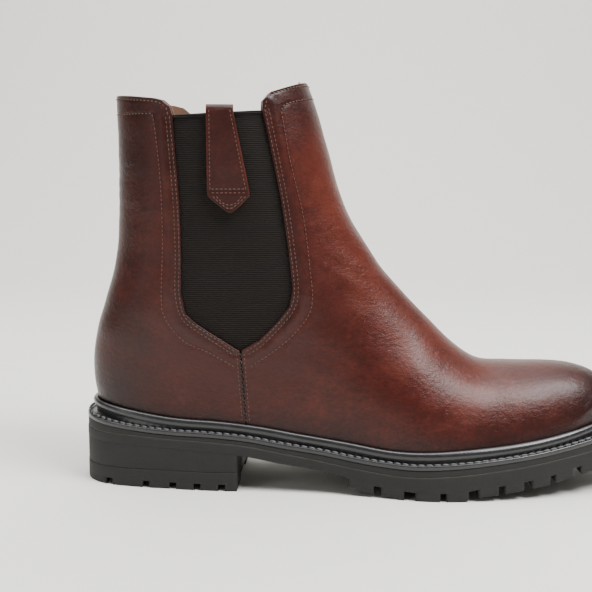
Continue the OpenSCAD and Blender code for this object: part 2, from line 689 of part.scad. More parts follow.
vamp();
quarter_lower();
quarter_upper();
gore(lateral);  // gore_lateral
gore(medial);  // gore_medial
pull_tab(lateral);  // pull_tab_lateral
pull_tab(medial);  // pull_tab_medial
tab_anchor(lateral);  // tab_anchor_lateral
tab_anchor(medial);  // tab_anchor_medial
vamp_lining();
heel_lining();
back_lining();
heel_counter();
toe_puff();
side_tape(lateral);  // side_tape_lateral
side_tape(medial);  // side_tape_medial
collar_tape_front();
collar_tape_back();
insole_board();
insole_rib();
footbed();
heel_pad();
shank();
cork_filler();
welt();
welt_thread();
midsole();
outsole();
heel_block();
heel_top_piece();
heel_nails();
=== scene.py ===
"""Chelsea boot: the looks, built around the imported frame.

Lengths in the classes are millimetres in the frame's own axes: +X to the toe, +Y to the inner
side, +Z up, origin on the ground. Meshes are scaled to metres when they are made.
"""

import logging
import math
from dataclasses import dataclass, field
from enum import Enum
from typing import Any, Callable, Sequence

import bpy
import numpy as np
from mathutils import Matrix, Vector


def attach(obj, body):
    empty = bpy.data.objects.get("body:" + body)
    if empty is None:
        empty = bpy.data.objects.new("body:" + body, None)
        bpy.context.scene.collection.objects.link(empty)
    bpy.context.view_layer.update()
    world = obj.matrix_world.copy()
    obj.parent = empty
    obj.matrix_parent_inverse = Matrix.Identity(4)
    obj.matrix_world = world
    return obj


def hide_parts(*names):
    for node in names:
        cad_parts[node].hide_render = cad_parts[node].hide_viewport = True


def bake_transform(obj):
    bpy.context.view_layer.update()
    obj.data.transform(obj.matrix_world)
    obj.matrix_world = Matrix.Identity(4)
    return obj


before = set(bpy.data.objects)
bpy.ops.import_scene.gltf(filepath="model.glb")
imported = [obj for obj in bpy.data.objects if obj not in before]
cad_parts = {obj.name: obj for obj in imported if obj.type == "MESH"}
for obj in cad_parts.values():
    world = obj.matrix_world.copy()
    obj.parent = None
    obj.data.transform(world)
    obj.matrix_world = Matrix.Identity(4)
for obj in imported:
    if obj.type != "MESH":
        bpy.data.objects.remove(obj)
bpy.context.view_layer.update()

MM = 0.001
log = logging.getLogger("chelsea_boot")


class Side(Enum):
    """Outer and inner side of the boot, as the sign of Y."""

    LATERAL = -1
    MEDIAL = 1


# ------------------------------------------------------------------ shader building


class Tone:
    """A float socket that does sums, so that shader maths reads as an expression."""

    def __init__(self, bench: "Bench", socket: Any) -> None:
        """Keeps the socket and the bench its nodes are made on."""
        self.bench = bench
        self.socket = socket

    def _sum(self, operation: str, first: Any, second: Any, clamp: bool = False) -> "Tone":
        """Adds one Math node.

        Args:
            operation: the node's operation.
            first: its first value.
            second: its second value.
            clamp: whether the result is kept between 0 and 1.

        Returns:
            The node's result.
        """
        made = self.bench.node(
            "ShaderNodeMath", {"operation": operation, "use_clamp": clamp}, {0: first, 1: second}
        )
        return Tone(self.bench, made.outputs[0])

    def __add__(self, other: Any) -> "Tone":
        """Sum."""
        return self._sum("ADD", self, other)

    __radd__ = __add__

    def __sub__(self, other: Any) -> "Tone":
        """Difference."""
        return self._sum("SUBTRACT", self, other)

    def __mul__(self, other: Any) -> "Tone":
        """Product."""
        return self._sum("MULTIPLY", self, other)

    __rmul__ = __mul__

    def held(self) -> "Tone":
        """The value kept between 0 and 1."""
        return self._sum("ADD", self, 0.0, clamp=True)


class Bench:
    """Builds the nodes of one material."""

    def __init__(self, name: str) -> None:
        """Starts an empty material.

        Args:
            name: the material's name.
        """
        self.material = bpy.data.materials.new(name)
        self.material.use_nodes = True
        self.tree = self.material.node_tree
        self.tree.nodes.clear()
        self.coords = self.node("ShaderNodeTexCoord").outputs["Object"]

    def node(self, kind: str, settings: dict | None = None, sockets: dict | None = None) -> Any:
        """Adds a node, sets it, then feeds its sockets.

        Args:
            kind: the node's type.
            settings: attributes to set; "stops" holds a ramp's (place, colour) pairs.
            sockets: values, Tones or output sockets by input name or number.

        Returns:
            The new node.
        """
        made = self.tree.nodes.new(kind)
        for key, value in (settings or {}).items():
            if key == "stops":
                self._stops(made, value)
            else:
                setattr(made, key, value)
        for key, value in (sockets or {}).items():
            source = value.socket if isinstance(value, Tone) else value
            if isinstance(source, bpy.types.NodeSocket):
                self.tree.links.new(source, made.inputs[key])
            else:
                made.inputs[key].default_value = source
        return made

    @staticmethod
    def _stops(ramp: Any, stops: Sequence[tuple[float, tuple]]) -> None:
        """Sets a colour ramp's stops."""
        elements = ramp.color_ramp.elements
        while len(elements) < len(stops):
            elements.new(0.5)
        for element, (place, colour) in zip(elements, stops):
            element.position = place
            element.color = colour

    def noise(self, scale: float, detail: float = 3.0, stretch: tuple = (1, 1, 1)) -> Tone:
        """Noise over the object's own coordinates.

        Args:
            scale: features per metre.
            detail: octaves.
            stretch: factors on X, Y and Z.

        Returns:
            The noise, 0 to 1.
        """
        where = self.node("ShaderNodeMapping", None, {"Vector": self.coords, "Scale": stretch})
        made = self.node(
            "ShaderNodeTexNoise", None,
            {"Vector": where.outputs[0], "Scale": scale, "Detail": detail, "Roughness": 0.55},
        )
        return Tone(self, made.outputs[0])

    def cells(self, scale: float, feature: str = "DISTANCE_TO_EDGE") -> Tone:
        """Cell pattern, for grain.

        Args:
            scale: cells per metre.
            feature: which distance the pattern gives.

        Returns:
            The distance.
        """
        made = self.node(
            "ShaderNodeTexVoronoi", {"feature": feature}, {"Vector": self.coords, "Scale": scale}
        )
        return Tone(self, made.outputs[0])

    def worn(self, name: str) -> Tone:
        """A value that the mesh carries on its points."""
        made = self.node("ShaderNodeAttribute", {"attribute_name": name})
        return Tone(self, made.outputs["Fac"])

    def blend(self, share: Any, first: Any, second: Any, mode: str = "MIX") -> Any:
        """Mixes two colours.

        Args:
            share: share of the second colour.
            first: colour or socket.
            second: colour or socket.
            mode: the Mix node's blend type.

        Returns:
            The mixed colour's socket.
        """
        made = self.node(
            "ShaderNodeMix", {"data_type": "RGBA", "blend_type": mode, "clamp_factor": True},
            {0: share, 6: first, 7: second},
        )
        return made.outputs[2]

    def relief(self, height: Tone, depth_mm: float, strength: float = 1.0) -> Any:
        """Turns a height into a normal.

        Args:
            height: 0 to 1.
            depth_mm: how deep a full step is.
            strength: share of the effect.

        Returns:
            The normal's socket.
        """
        made = self.node(
            "ShaderNodeBump", None,
            {"Strength": strength, "Distance": depth_mm * MM, "Height": height},
        )
        return made.outputs[0]

    def surface(self, sockets: dict) -> Any:
        """Ends the material in a Principled shader.

        Args:
            sockets: what its sockets get.

        Returns:
            The finished material.
        """
        shader = self.node("ShaderNodeBsdfPrincipled", None, sockets)
        self.node("ShaderNodeOutputMaterial", None, {"Surface": shader.outputs[0]})
        return self.material


def shade(red: int, green: int, blue: int) -> tuple[float, float, float, float]:
    """A colour given as the eye sees it, 0 to 255, as linear light."""
    def linear(value: float) -> float:
        """One channel."""
        share = value / 255
        return share / 12.92 if share <= 0.04045 else ((share + 0.055) / 1.055) ** 2.4

    return (linear(red), linear(green), linear(blue), 1.0)


@dataclass(frozen=True)
class BurnishedLeather:
    """Waxed box leather, rubbed darker where it was polished, and lighter where the mesh carries
    painted highlights.
    """

    name: str = "burnished_leather"
    dark: tuple = shade(24, 13, 12)
    body: tuple = shade(62, 20, 14)
    light: tuple = shade(92, 38, 25)
    grain_per_m: float = 900.0
    roughness: float = 0.36
    coat: float = 0.14

    def make(self) -> Any:
        """Builds the material.

        Returns:
            The material.
        """
        bench = Bench(self.name)
        cloud = bench.noise(32.0, 5.0)
        streak = bench.noise(120.0, 4.0, (1, 1, 1.5))
        crinkle = bench.noise(430.0, 5.0, (1, 1, 1.3))
        mottled = (cloud - 0.5) * 1.3 + (streak - 0.5) * 0.7
        # lighter colour: painted highlights from the points, plus the leather's own mottling from
        # the noise
        highlight_and_tone = (bench.worn("highlight_and_tone") + mottled * 0.8 + (crinkle - 0.5) * 0.5).held()
        burnish = (bench.worn("burnish") + mottled * -0.5 + (crinkle - 0.5) * -0.9).held()
        colour = bench.blend(highlight_and_tone, self.body, self.light)
        colour = bench.blend(burnish, colour, self.dark)
        pores = bench.cells(self.grain_per_m)
        fine = bench.noise(2600.0, 2.0)
        crease = bench.noise(260.0, 4.0, (1, 1, 1.6))
        height = pores * 0.5 + fine * 0.3 + crinkle * 1.1 + crease * 0.9
        normal = bench.relief(height, 0.3, 0.75)
        rough = (mottled * 0.25 + (fine - 0.5) * 0.12 + self.roughness).held()
        return bench.surface(
            {
                "Base Color": colour, "Roughness": rough, "Normal": normal,
                "Coat Weight": self.coat, "Coat Roughness": 0.26, "Specular IOR Level": 0.22,
            }
        )


@dataclass(frozen=True)
class PlainLeather:
    """Leather of one colour with fine grain: lining, strap and sock."""

    name: str
    body: tuple
    low: tuple
    roughness: float = 0.55
    grain_per_m: float = 1100.0

    def make(self) -> Any:
        """Builds the material.

        Returns:
            The material.
        """
        bench = Bench(self.name)
        cloud = bench.noise(90.0, 4.0)
        colour = bench.blend(cloud, self.low, self.body)
        pores = bench.cells(self.grain_per_m)
        fine = bench.noise(2400.0, 2.0)
        normal = bench.relief(pores + fine * 0.4, 0.08, 0.5)
        rough = (self.roughness + (cloud - 0.5) * 0.2).held()
        return bench.surface({"Base Color": colour, "Roughness": rough, "Normal": normal})


@dataclass(frozen=True)
class Elastic:
    """Ribbed elastic webbing, with painted shade in the grooves between the ribs."""

    name: str = "ribbed_elastic"
    rib: tuple = shade(33, 27, 24)
    # Painted shade for the grooves between the ribs.
    groove_shade: tuple = shade(9, 7, 7)

    def make(self) -> Any:
        """Builds the material.

        Returns:
            The material.
        """
        bench = Bench(self.name)
        yarn = bench.noise(1500.0, 2.0, (0.25, 1, 1))
        # painted shade: the grooves between the ribs are mixed towards the dark groove colour
        share = (bench.worn("rib") * 0.95 + (yarn - 0.5) * 0.4).held()
        colour = bench.blend(share, self.groove_shade, self.rib)
        twist = bench.noise(2600.0, 2.0, (1, 1, 0.4))
        normal = bench.relief(twist + yarn * 0.6, 0.12, 0.7)
        return bench.surface(
            {
                "Base Color": colour, "Roughness": 0.78, "Normal": normal,
                "Sheen Weight": 0.05, "Sheen Roughness": 0.5, "Specular IOR Level": 0.2,
            }
        )


@dataclass(frozen=True)
class Rubber:
    """Moulded rubber."""

    name: str
    body: tuple
    dust: tuple
    roughness: float
    coat: float = 0.0

    def make(self) -> Any:
        """Builds the material.

        Returns:
            The material.
        """
        bench = Bench(self.name)
        cloud = bench.noise(120.0, 5.0)
        speck = bench.noise(1400.0, 3.0)
        share = ((cloud - 0.45) * 0.9 + (speck - 0.5) * 0.5).held()
        colour = bench.blend(share, self.body, self.dust)
        normal = bench.relief(speck + cloud * 0.5, 0.08, 0.5)
        rough = (self.roughness + (speck - 0.5) * 0.25).held()
        return bench.surface(
            {
                "Base Color": colour, "Roughness": rough, "Normal": normal,
                "Coat Weight": self.coat, "Coat Roughness": 0.15,
            }
        )


@dataclass(frozen=True)
class Thread:
    """Twisted waxed thread."""

    name: str
    body: tuple
    low: tuple

    def make(self) -> Any:
        """Builds the material.

        Returns:
            The material.
        """
        bench = Bench(self.name)
        twist = bench.noise(3000.0, 2.0)
        colour = bench.blend(twist, self.low, self.body)
        normal = bench.relief(twist, 0.1, 0.8)
        return bench.surface({"Base Color": colour, "Roughness": 0.6, "Normal": normal})


@dataclass(frozen=True)
class Inner:
    """A hidden material: cloth, board, cork, foam or metal."""

    name: str
    body: tuple
    low: tuple
    scale: float = 400.0
    roughness: float = 0.8
    metallic: float = 0.0

    def make(self) -> Any:
        """Builds the material.

        Returns:
            The material.
        """
        bench = Bench(self.name)
        fleck = bench.noise(self.scale, 3.0)
        colour = bench.blend(fleck, self.low, self.body)
        normal = bench.relief(fleck, 0.15, 0.6)
        return bench.surface(
            {
                "Base Color": colour, "Roughness": self.roughness, "Normal": normal,
                "Metallic": self.metallic,
            }
        )


@dataclass(frozen=True)
class Studio:
    """The plain floor and backdrop."""

    name: str = "studio_paper"
    tone: tuple = shade(224, 222, 216)

    def make(self) -> Any:
        """Builds the material.

        Returns:
            The material.
        """
        bench = Bench(self.name)
        soft = bench.noise(3.0, 2.0)
        colour = bench.blend(soft * 0.15, self.tone, shade(216, 215, 211))
        return bench.surface({"Base Color": colour, "Roughness": 0.9})


# ------------------------------------------------------------------ curves and the form


@dataclass(frozen=True)
class Track:
    """Smooth curve through a few points (x, value)."""

    points: tuple

    def __call__(self, x: Any) -> np.ndarray:
        """The curve's value.

        Args:
            x: one place or an array of them.

        Returns:
            The values.
        """
        xs, ys = np.array(self.points, float).T
        before = np.maximum(np.arange(len(xs)) - 1, 0)
        after = np.minimum(np.arange(len(xs)) + 1, len(xs) - 1)
        slopes = (ys[after] - ys[before]) / (xs[after] - xs[before])
        held = np.clip(x, xs[0], xs[-1])
        i = np.clip(np.searchsorted(xs, held, "right") - 1, 0, len(xs) - 2)
        step = xs[i + 1] - xs[i]
        u = (held - xs[i]) / step
        return (
            (2 * u**3 - 3 * u**2 + 1) * ys[i] + (u**3 - 2 * u**2 + u) * step * slopes[i]
            + (3 * u**2 - 2 * u**3) * ys[i + 1] + (u**3 - u**2) * step * slopes[i + 1]
        )


def ease(u: Any) -> np.ndarray:
    """Smooth step from 0 to 1."""
    c = np.clip(u, 0.0, 1.0)
    return c * c * (3 - 2 * c)


def step_up(value: Any, start: float, length: float) -> np.ndarray:
    """Smooth step that begins at a place; a negative length runs the other way."""
    return ease((value - start) / length)


def bell(value: Any, middle: float, width: float) -> np.ndarray:
    """Soft bump of height 1 round a place."""
    return np.exp(-(((value - middle) / width) ** 2))


def along(rows: np.ndarray, stations: np.ndarray) -> np.ndarray:
    """Straight interpolation between a table's rows.

    Args:
        rows: the table.
        stations: places, counted in rows.

    Returns:
        One row for each place.
    """
    i = np.clip(np.floor(stations).astype(int), 0, len(rows) - 2)
    u = (stations - i)[:, None]
    return rows[i] * (1 - u) + rows[i + 1] * u


def rounded(rows: Sequence[Sequence[float]], per: int = 6) -> np.ndarray:
    """A smooth chain through a few given rows.

    Args:
        rows: the rows.
        per: points for each stretch.

    Returns:
        The chain.
    """
    table = np.array(rows, float)
    count = len(table)
    before = np.maximum(np.arange(count) - 1, 0)
    after = np.minimum(np.arange(count) + 1, count - 1)
    slopes = (table[after] - table[before]) / (after - before)[:, None]
    q = np.linspace(0, count - 1, per * (count - 1) + 1)
    i = np.clip(np.floor(q).astype(int), 0, count - 2)
    u = (q - i)[:, None]
    return (
        (2 * u**3 - 3 * u**2 + 1) * table[i] + (u**3 - 2 * u**2 + u) * slopes[i]
        + (3 * u**2 - 2 * u**3) * table[i + 1] + (u**3 - u**2) * slopes[i + 1]
    )


def distance(x: np.ndarray, z: np.ndarray, chain: np.ndarray) -> np.ndarray:
    """Distance in the side view from each point to a chain of straight stretches.

    Args:
        x: places along the boot.
        z: heights.
        chain: points of the chain, of which the first two columns are x and z.

    Returns:
        The distances.
    """
    flat_x, flat_z = np.ravel(x), np.ravel(z)
    best = np.full(flat_x.shape, 1e9)
    for a, b in zip(chain[:-1], chain[1:]):
        run = b[:2] - a[:2]
        length = max(float(run @ run), 1e-9)
        u = np.clip(((flat_x - a[0]) * run[0] + (flat_z - a[1]) * run[1]) / length, 0, 1)
        best = np.minimum(best, np.hypot(flat_x - a[0] - u * run[0], flat_z - a[1] - u * run[1]))
    return best.reshape(np.shape(x))


@dataclass(frozen=True)
class Form:
    """The outer surface of the upper, as a height over its side view."""

    ridge_rows: tuple = (
        (-28.1, 211, 50), (-24.7, 202, 50), (-17.8, 179.5, 51), (-9.3, 150, 53), (3, 127, 57),
        (17, 107.7, 63), (33, 90.8, 66), (50.5, 73.5, 62), (64, 65, 55), (80, 63.6, 49),
        (99, 63.6, 42), (114, 62.5, 33), (125.5, 58.6, 24), (133, 52, 16), (138.5, 43.5, 9.5),
        (141.2, 33, 4.5),
    )
    back_x: Track = Track((
        (32, -140), (38, -141), (45, -142.4), (54, -143.8), (64, -144), (79, -141.9),
        (95.4, -137.1), (106.5, -133.6), (120, -130.3), (136, -128.7), (165, -127.9),
        (185, -128), (212, -129)))
    back_round: Track = Track(((32, 44), (60, 40), (85, 38), (120, 42), (160, 47), (212, 50)))
    toe_x: Track = Track(((27, 142), (33, 141.2), (37.5, 139.8), (42, 138)))
    lateral_w: Track = Track((
        (-142.4, 27), (-112, 27.2), (-98, 28), (-88, 29.6), (-72, 31), (-63, 31.2), (-45, 32),
        (-15, 34.5), (10, 39), (30, 43.6), (42, 44.4), (60, 43.4), (85, 38.6), (105, 32),
        (120, 24.5), (130, 16.5), (137, 9.5), (141.3, 3.5)))
    medial_w: Track = Track((
        (-142.4, 26.8), (-105, 27.5), (-75, 27.5), (-45, 26.8), (-15, 27.8), (5, 32), (25, 38.8),
        (45, 43.4), (58, 44.4), (75, 43.8), (95, 40), (113, 33), (125, 25.5), (134, 17.5),
        (141.3, 4.5)))
    shaft_w: Track = Track(((98, 34.3), (124, 35), (154, 36.5), (184, 37.8), (212, 38)))
    feather_z: Track = Track((
        (-141, 38.3), (-120, 35.2), (-98, 32.1), (-72, 30.8), (-50, 28.3), (-30, 25.1),
        (-4, 21.5), (16, 18.9), (36, 19.1), (56, 20.5), (76, 22.3), (97, 25.3), (119, 30),
        (141, 36.5)))
    feather_back: float = -141.0
    feather_toe: float = 141.0
    foot_top_z: float = 45.0
    shaft_low_z: float = 103.0
    power: float = 2.3
    ridge_fine: int = 12

    def ridge(self, stations: Any) -> np.ndarray:
        """Points of the ridge: x, z and rounding depth, at stations counted in rows."""
        chain = self.ridge_chain()
        return along(chain, np.atleast_1d(stations) * self.ridge_fine)

    def ridge_chain(self) -> np.ndarray:
        """The ridge as a fine chain."""
        return rounded(self.ridge_rows, self.ridge_fine)

    def shares(self, x: np.ndarray, z: np.ndarray) -> np.ndarray:
        """How far the front and back roundings have closed the section.

        Args:
            x: places along the boot.
            z: heights.

        Returns:
            0 well inside the side view's outline, 1 on it and more outside.
        """
        chain = self.ridge_chain()
        shape = np.shape(x)
        px, pz = np.ravel(x), np.ravel(z)
        best = np.full(px.shape, 1e9)
        value = np.zeros(px.shape)
        for a, b in zip(chain[:-1], chain[1:]):
            run = b[:2] - a[:2]
            rx, rz = px - a[0], pz - a[1]
            u = np.clip((rx * run[0] + rz * run[1]) / (run @ run), 0, 1)
            away = np.hypot(rx - u * run[0], rz - u * run[1])
            inward = np.where(rx * run[1] - rz * run[0] >= 0, 1.0, -1.0)
            closer = away < best
            best = np.where(closer, away, best)
            value = np.where(closer, 1 - inward * away / (a[2] + (b[2] - a[2]) * u), value)
        front = np.clip(value, 0, 2) ** self.power
        back = np.clip(1 - (px - self.back_x(pz)) / self.back_round(pz), 0, 2) ** self.power
        return (front + back).reshape(shape)

    def half_width(self, x: np.ndarray, z: np.ndarray, side: np.ndarray) -> np.ndarray:
        """Half-width before the roundings."""
        foot = np.where(side < 0, self.lateral_w(x), self.medial_w(x))
        mix = ease((z - self.foot_top_z) / (self.shaft_low_z - self.foot_top_z))
        return foot * (1 - mix) + self.shaft_w(z) * mix

    def skin(self, x: np.ndarray, z: np.ndarray, side: np.ndarray) -> np.ndarray:
        """Y of the outer surface over places of the side view."""
        open_share = np.maximum(0.0, 1 - self.shares(x, z)) ** (1 / self.power)
        return side * self.half_width(x, z, side) * open_share

    def normals(self, x: np.ndarray, y: np.ndarray, z: np.ndarray, side: np.ndarray) -> np.ndarray:
        """Outward normals at points of the surface.

        Args:
            x: places along the boot.
            y: places across it.
            z: heights.
            side: sign of Y for each point.

        Returns:
            Unit vectors.
        """
        def level(px: np.ndarray, py: np.ndarray, pz: np.ndarray) -> np.ndarray:
            """1 on the surface, more outside it."""
            width = self.half_width(px, pz, side)
            return (np.abs(py) / width) ** self.power + self.shares(px, pz)

        step = 0.3
        gx = level(x + step, y, z) - level(x - step, y, z)
        gz = level(x, y, z + step) - level(x, y, z - step)
        width = self.half_width(x, z, side)
        slope = self.power * (np.abs(y) / width) ** (self.power - 1) / width
        gy = slope * np.sign(y) * 2 * step
        normal = np.stack([gx, gy, gz], -1)
        return normal / np.maximum(np.linalg.norm(normal, axis=-1, keepdims=True), 1e-12)

    def under(self, x: Any, z: Any, side: Any, depth: Any = 0.0) -> np.ndarray:
        """Points at a depth below the outer surface.

        Args:
            x: places along the boot.
            z: heights.
            side: sign of Y for each.
            depth: depth for each, negative to stand proud.

        Returns:
            The points, in millimetres.
        """
        x, z, side, depth = np.broadcast_arrays(
            np.asarray(x, float), np.asarray(z, float), np.asarray(side, float),
            np.asarray(depth, float))
        y = self.skin(x, z, side)
        normal = self.normals(x, y, z, side)
        return np.stack([x, y, z], -1) - depth[..., None] * normal

    def contour(self, shares: np.ndarray, side: int, rise: float) -> np.ndarray:
        """Contour of the upper at one height over the feather line.

        Args:
            shares: places from the back (0) to the toe (1).
            side: sign of Y.
            rise: height over the feather line.

        Returns:
            The contour's points.
        """
        ends = np.array([self.feather_back, self.feather_toe])
        back = float(self.back_x(self.feather_z(ends)[0] + rise))
        toe = float(self.toe_x(self.feather_z(ends)[1] + rise))
        x = back + (toe - back) * (1 - np.cos(math.pi * shares)) / 2
        z = self.feather_z(x) + rise
        return np.stack([x, self.skin(x, z, np.full(x.shape, float(side))), z], -1)


FORM = Form()


# ------------------------------------------------------------------ outlines of the upper


@dataclass(frozen=True)
class Pattern:
    """The cutting lines and stitch rows of the upper in the side view: x, z."""

    gore_rows: tuple = (
        (-94.4, 192.6, -49.1, 195.7), (-93.2, 177.2, -45.7, 179.7), (-91.3, 148.6, -40, 150.7),
        (-90.8, 123, -36.2, 124.7), (-91.2, 103.4, -34.3, 105.7), (-88.8, 92.1, -36, 96.7),
        (-83.1, 86.9, -42.5, 88.3), (-71.5, 79.4, -51.4, 79.1), (-63.5, 73.9, -58.9, 73.9),
    )
    quarter_rows: tuple = (
        (-105, 201.5, 204.1), (-99.6, 200.3, 202.3), (-95.6, 197.2, 199), (-94.2, 193.2, 194.5),
        (-93.2, 177.2, 175.8), (-91.3, 148.6, 145.6), (-90.8, 123, 119.4), (-91.2, 103.4, 98.2),
        (-88.8, 92.1, 87.1), (-83.1, 86.9, 80.1), (-71.5, 79.4, 73), (-63.5, 74.3, 67),
    )
    heel_rows: tuple = ((-61.5, 73.3, 66.2), (-60.6, 63.5, 57.9), (-59.6, 49.5, 48.8),
                        (-58.9, 39.4, 41.8))
    vamp_rows: tuple = (
        (-38.8, 206.7, 0), (-45.1, 204.4, 0.3), (-48.8, 200.2, 0.7), (-49.1, 194.7, 1.1),
        (-45.7, 179.7, 2), (-40, 150.7, 3.1), (-36.2, 124.7, 4), (-34.3, 105.7, 4.7),
        (-36, 96.7, 5.1), (-42.5, 88.3, 5.5), (-51.4, 79.1, 5.9), (-60.8, 73.5, 6.25),
        (-59.6, 53.5, 6.7),
    )
    vamp_feather: tuple = (
        (-58.6, 7.1), (-35, 7.5), (-10, 8), (15, 8.5), (40, 9.05), (62, 9.6), (83, 10.25),
        (102, 11.1), (118, 12.1), (129, 13.4), (134.5, 14.6),
    )
    rear_outer_row: tuple = (
        (-104.5, 193.7), (-103.1, 185.5), (-101.2, 166.1), (-100.4, 150.6), (-100.2, 130.4),
        (-101, 110), (-101.3, 99.8), (-100.6, 93), (-96.6, 85.2), (-89.2, 77.6), (-77.4, 72.4),
        (-64.1, 64.9),
    )
    front_outer_row: tuple = (
        (-24.9, 202.6), (-33.8, 199.9), (-38.3, 198.1), (-39.8, 195.7), (-39.6, 192.2),
        (-38.2, 184.5), (-35.3, 168.8), (-28.9, 141.7), (-24.9, 110.2), (-24.3, 99.7),
        (-26.5, 91.7), (-34, 82.1), (-43.3, 74), (-56.2, 65),
    )

    def front_edge(self) -> np.ndarray:
        """The front leather's edge along the gore, from the collar to the V's bottom."""
        return np.array([row[2:4] for row in self.gore_rows], float)

    def rear_edge(self) -> np.ndarray:
        """The rear leather's edge along the gore, from the collar to the V's bottom."""
        return np.array([row[0:2] for row in self.gore_rows], float)

    def collar_front(self, inset: float) -> np.ndarray:
        """The front ear's top edge, moved down."""
        return np.array([(-26, 210.5 - inset), (-36, 207.7 - inset), (-44.4, 204.5 - inset),
                         (-47.4 + inset * 0.6, 201.4 - inset * 0.6), (-49.2 + inset, 196)], float)

    def seam(self, shift: float) -> np.ndarray:
        """The side seam from the V's bottom to the welt, moved along X."""
        return np.array([(-61.2 + shift, 72.5), (-60 + shift, 55.5), (-58.6 + shift, 36)], float)


PATTERN = Pattern()


def offset_chain(chain: np.ndarray, by: float) -> np.ndarray:
    """A chain in the side view moved square to itself, to its right-hand side."""
    run = np.gradient(chain, axis=0)
    run /= np.linalg.norm(run, axis=1, keepdims=True)
    return chain + by * np.stack([run[:, 1], -run[:, 0]], 1)


# ------------------------------------------------------------------ mesh building


def make_piece(name: str, points: np.ndarray, faces: Sequence, finish: Any,
               smooth: bool = True) -> Any:
    """Makes one object from points in millimetres.

    Args:
        name: the piece's name.
        points: its points.
        faces: its faces.
        finish: its material.
        smooth: whether its faces are smooth-shaded.

    Returns:
        The object.
    """
    mesh = bpy.data.meshes.new(name)
    mesh.from_pydata((np.asarray(points) * MM).tolist(), [], [tuple(map(int, f)) for f in faces])
    mesh.validate()
    mesh.polygons.foreach_set("use_smooth", [smooth] * len(mesh.polygons))
    mesh.materials.append(finish)
    piece = bpy.data.objects.new(name, mesh)
    bpy.context.scene.collection.objects.link(piece)
    log.info("%s: %d points", name, len(mesh.vertices))
    return piece


def wear(piece: Any, name: str, values: np.ndarray) -> None:
    """Writes one value a point on the mesh, for its finish to read."""
    layer = piece.data.attributes.new(name, "FLOAT", "POINT")
    layer.data.foreach_set("value", np.asarray(values, np.float32).ravel())


def grid_faces(rows: int, cols: int, base: int, flip: bool) -> list:
    """Quads of a grid of points."""
    faces = []
    for r in range(rows - 1):
        for c in range(cols - 1):
            a = base + r * cols + c
            quad = (a, a + cols, a + cols + 1, a + 1)
            faces.append(quad[::-1] if flip else quad)
    return faces


def sheet_mesh(outer: np.ndarray, inner: np.ndarray, flip: bool) -> tuple[np.ndarray, list]:
    """A closed sheet between two grids of points.

    Args:
        outer: rows by columns of outer points.
        inner: the same for the inner side.
        flip: whether the faces turn the other way.

    Returns:
        Points and faces.
    """
    rows, cols = outer.shape[:2]
    count = rows * cols
    points = np.concatenate([outer.reshape(-1, 3), inner.reshape(-1, 3)])
    faces = grid_faces(rows, cols, 0, flip) + grid_faces(rows, cols, count, not flip)
    loop = [c for c in range(cols - 1)]
    loop += [r * cols + cols - 1 for r in range(rows - 1)]
    loop += [(rows - 1) * cols + c for c in range(cols - 1, 0, -1)]
    loop += [r * cols for r in range(rows - 1, 0, -1)]
    for i, a in enumerate(loop):
        b = loop[(i + 1) % len(loop)]
        rim = (a, b, b + count, a + count)
        faces.append(rim[::-1] if flip else rim)
    return points, faces


def ring_mesh(sections: np.ndarray, flip: bool = False) -> tuple[np.ndarray, list]:
    """A closed ring of closed sections.

    Args:
        sections: stations by section points.
        flip: whether the faces turn the other way.

    Returns:
        Points and faces.
    """
    stations, size = sections.shape[:2]
    faces = []
    for i in range(stations):
        for j in range(size):
            a = i * size + j
            b = i * size + (j + 1) % size
            d = ((i + 1) % stations) * size
            quad = (a, b, d + (j + 1) % size, d + j)
            faces.append(quad[::-1] if flip else quad)
    return sections.reshape(-1, 3), faces


def capsules(centres: np.ndarray, runs: np.ndarray, ups: np.ndarray, length: float,
             width: float, height: float) -> tuple[np.ndarray, list]:
    """Small rounded beads, one for each stitch.

    Args:
        centres: their middles.
        runs: their directions.
        ups: the surface normals under them.
        length: each bead's length.
        width: its width.
        height: its height.

    Returns:
        Points and faces of all the beads.
    """
    across = np.cross(ups, runs)
    across /= np.linalg.norm(across, axis=1, keepdims=True)
    places = np.array([-0.5, -0.42, -0.22, 0.0, 0.22, 0.42, 0.5])
    thick = np.array([0.15, 0.62, 0.95, 1.0, 0.95, 0.62, 0.15])
    sides = 8
    angles = np.arange(sides) * 2 * math.pi / sides
    template = np.array([
        (p * length, t * width / 2 * math.cos(a), t * height / 2 * math.sin(a))
        for p, t in zip(places, thick) for a in angles])
    points = (centres[:, None] + template[None, :, :1] * runs[:, None]
              + template[None, :, 1:2] * across[:, None] + template[None, :, 2:] * ups[:, None])
    faces = []
    for k in range(len(places) - 1):
        for j in range(sides):
            a, b = k * sides + j, k * sides + (j + 1) % sides
            faces.append((a, b, b + sides, a + sides))
    last = (len(places) - 1) * sides
    faces.append(tuple(reversed(range(sides))))
    faces.append(tuple(range(last, last + sides)))
    size = len(template)
    whole = [tuple(v + n * size for v in face) for n in range(len(centres)) for face in faces]
    return points.reshape(-1, 3), whole


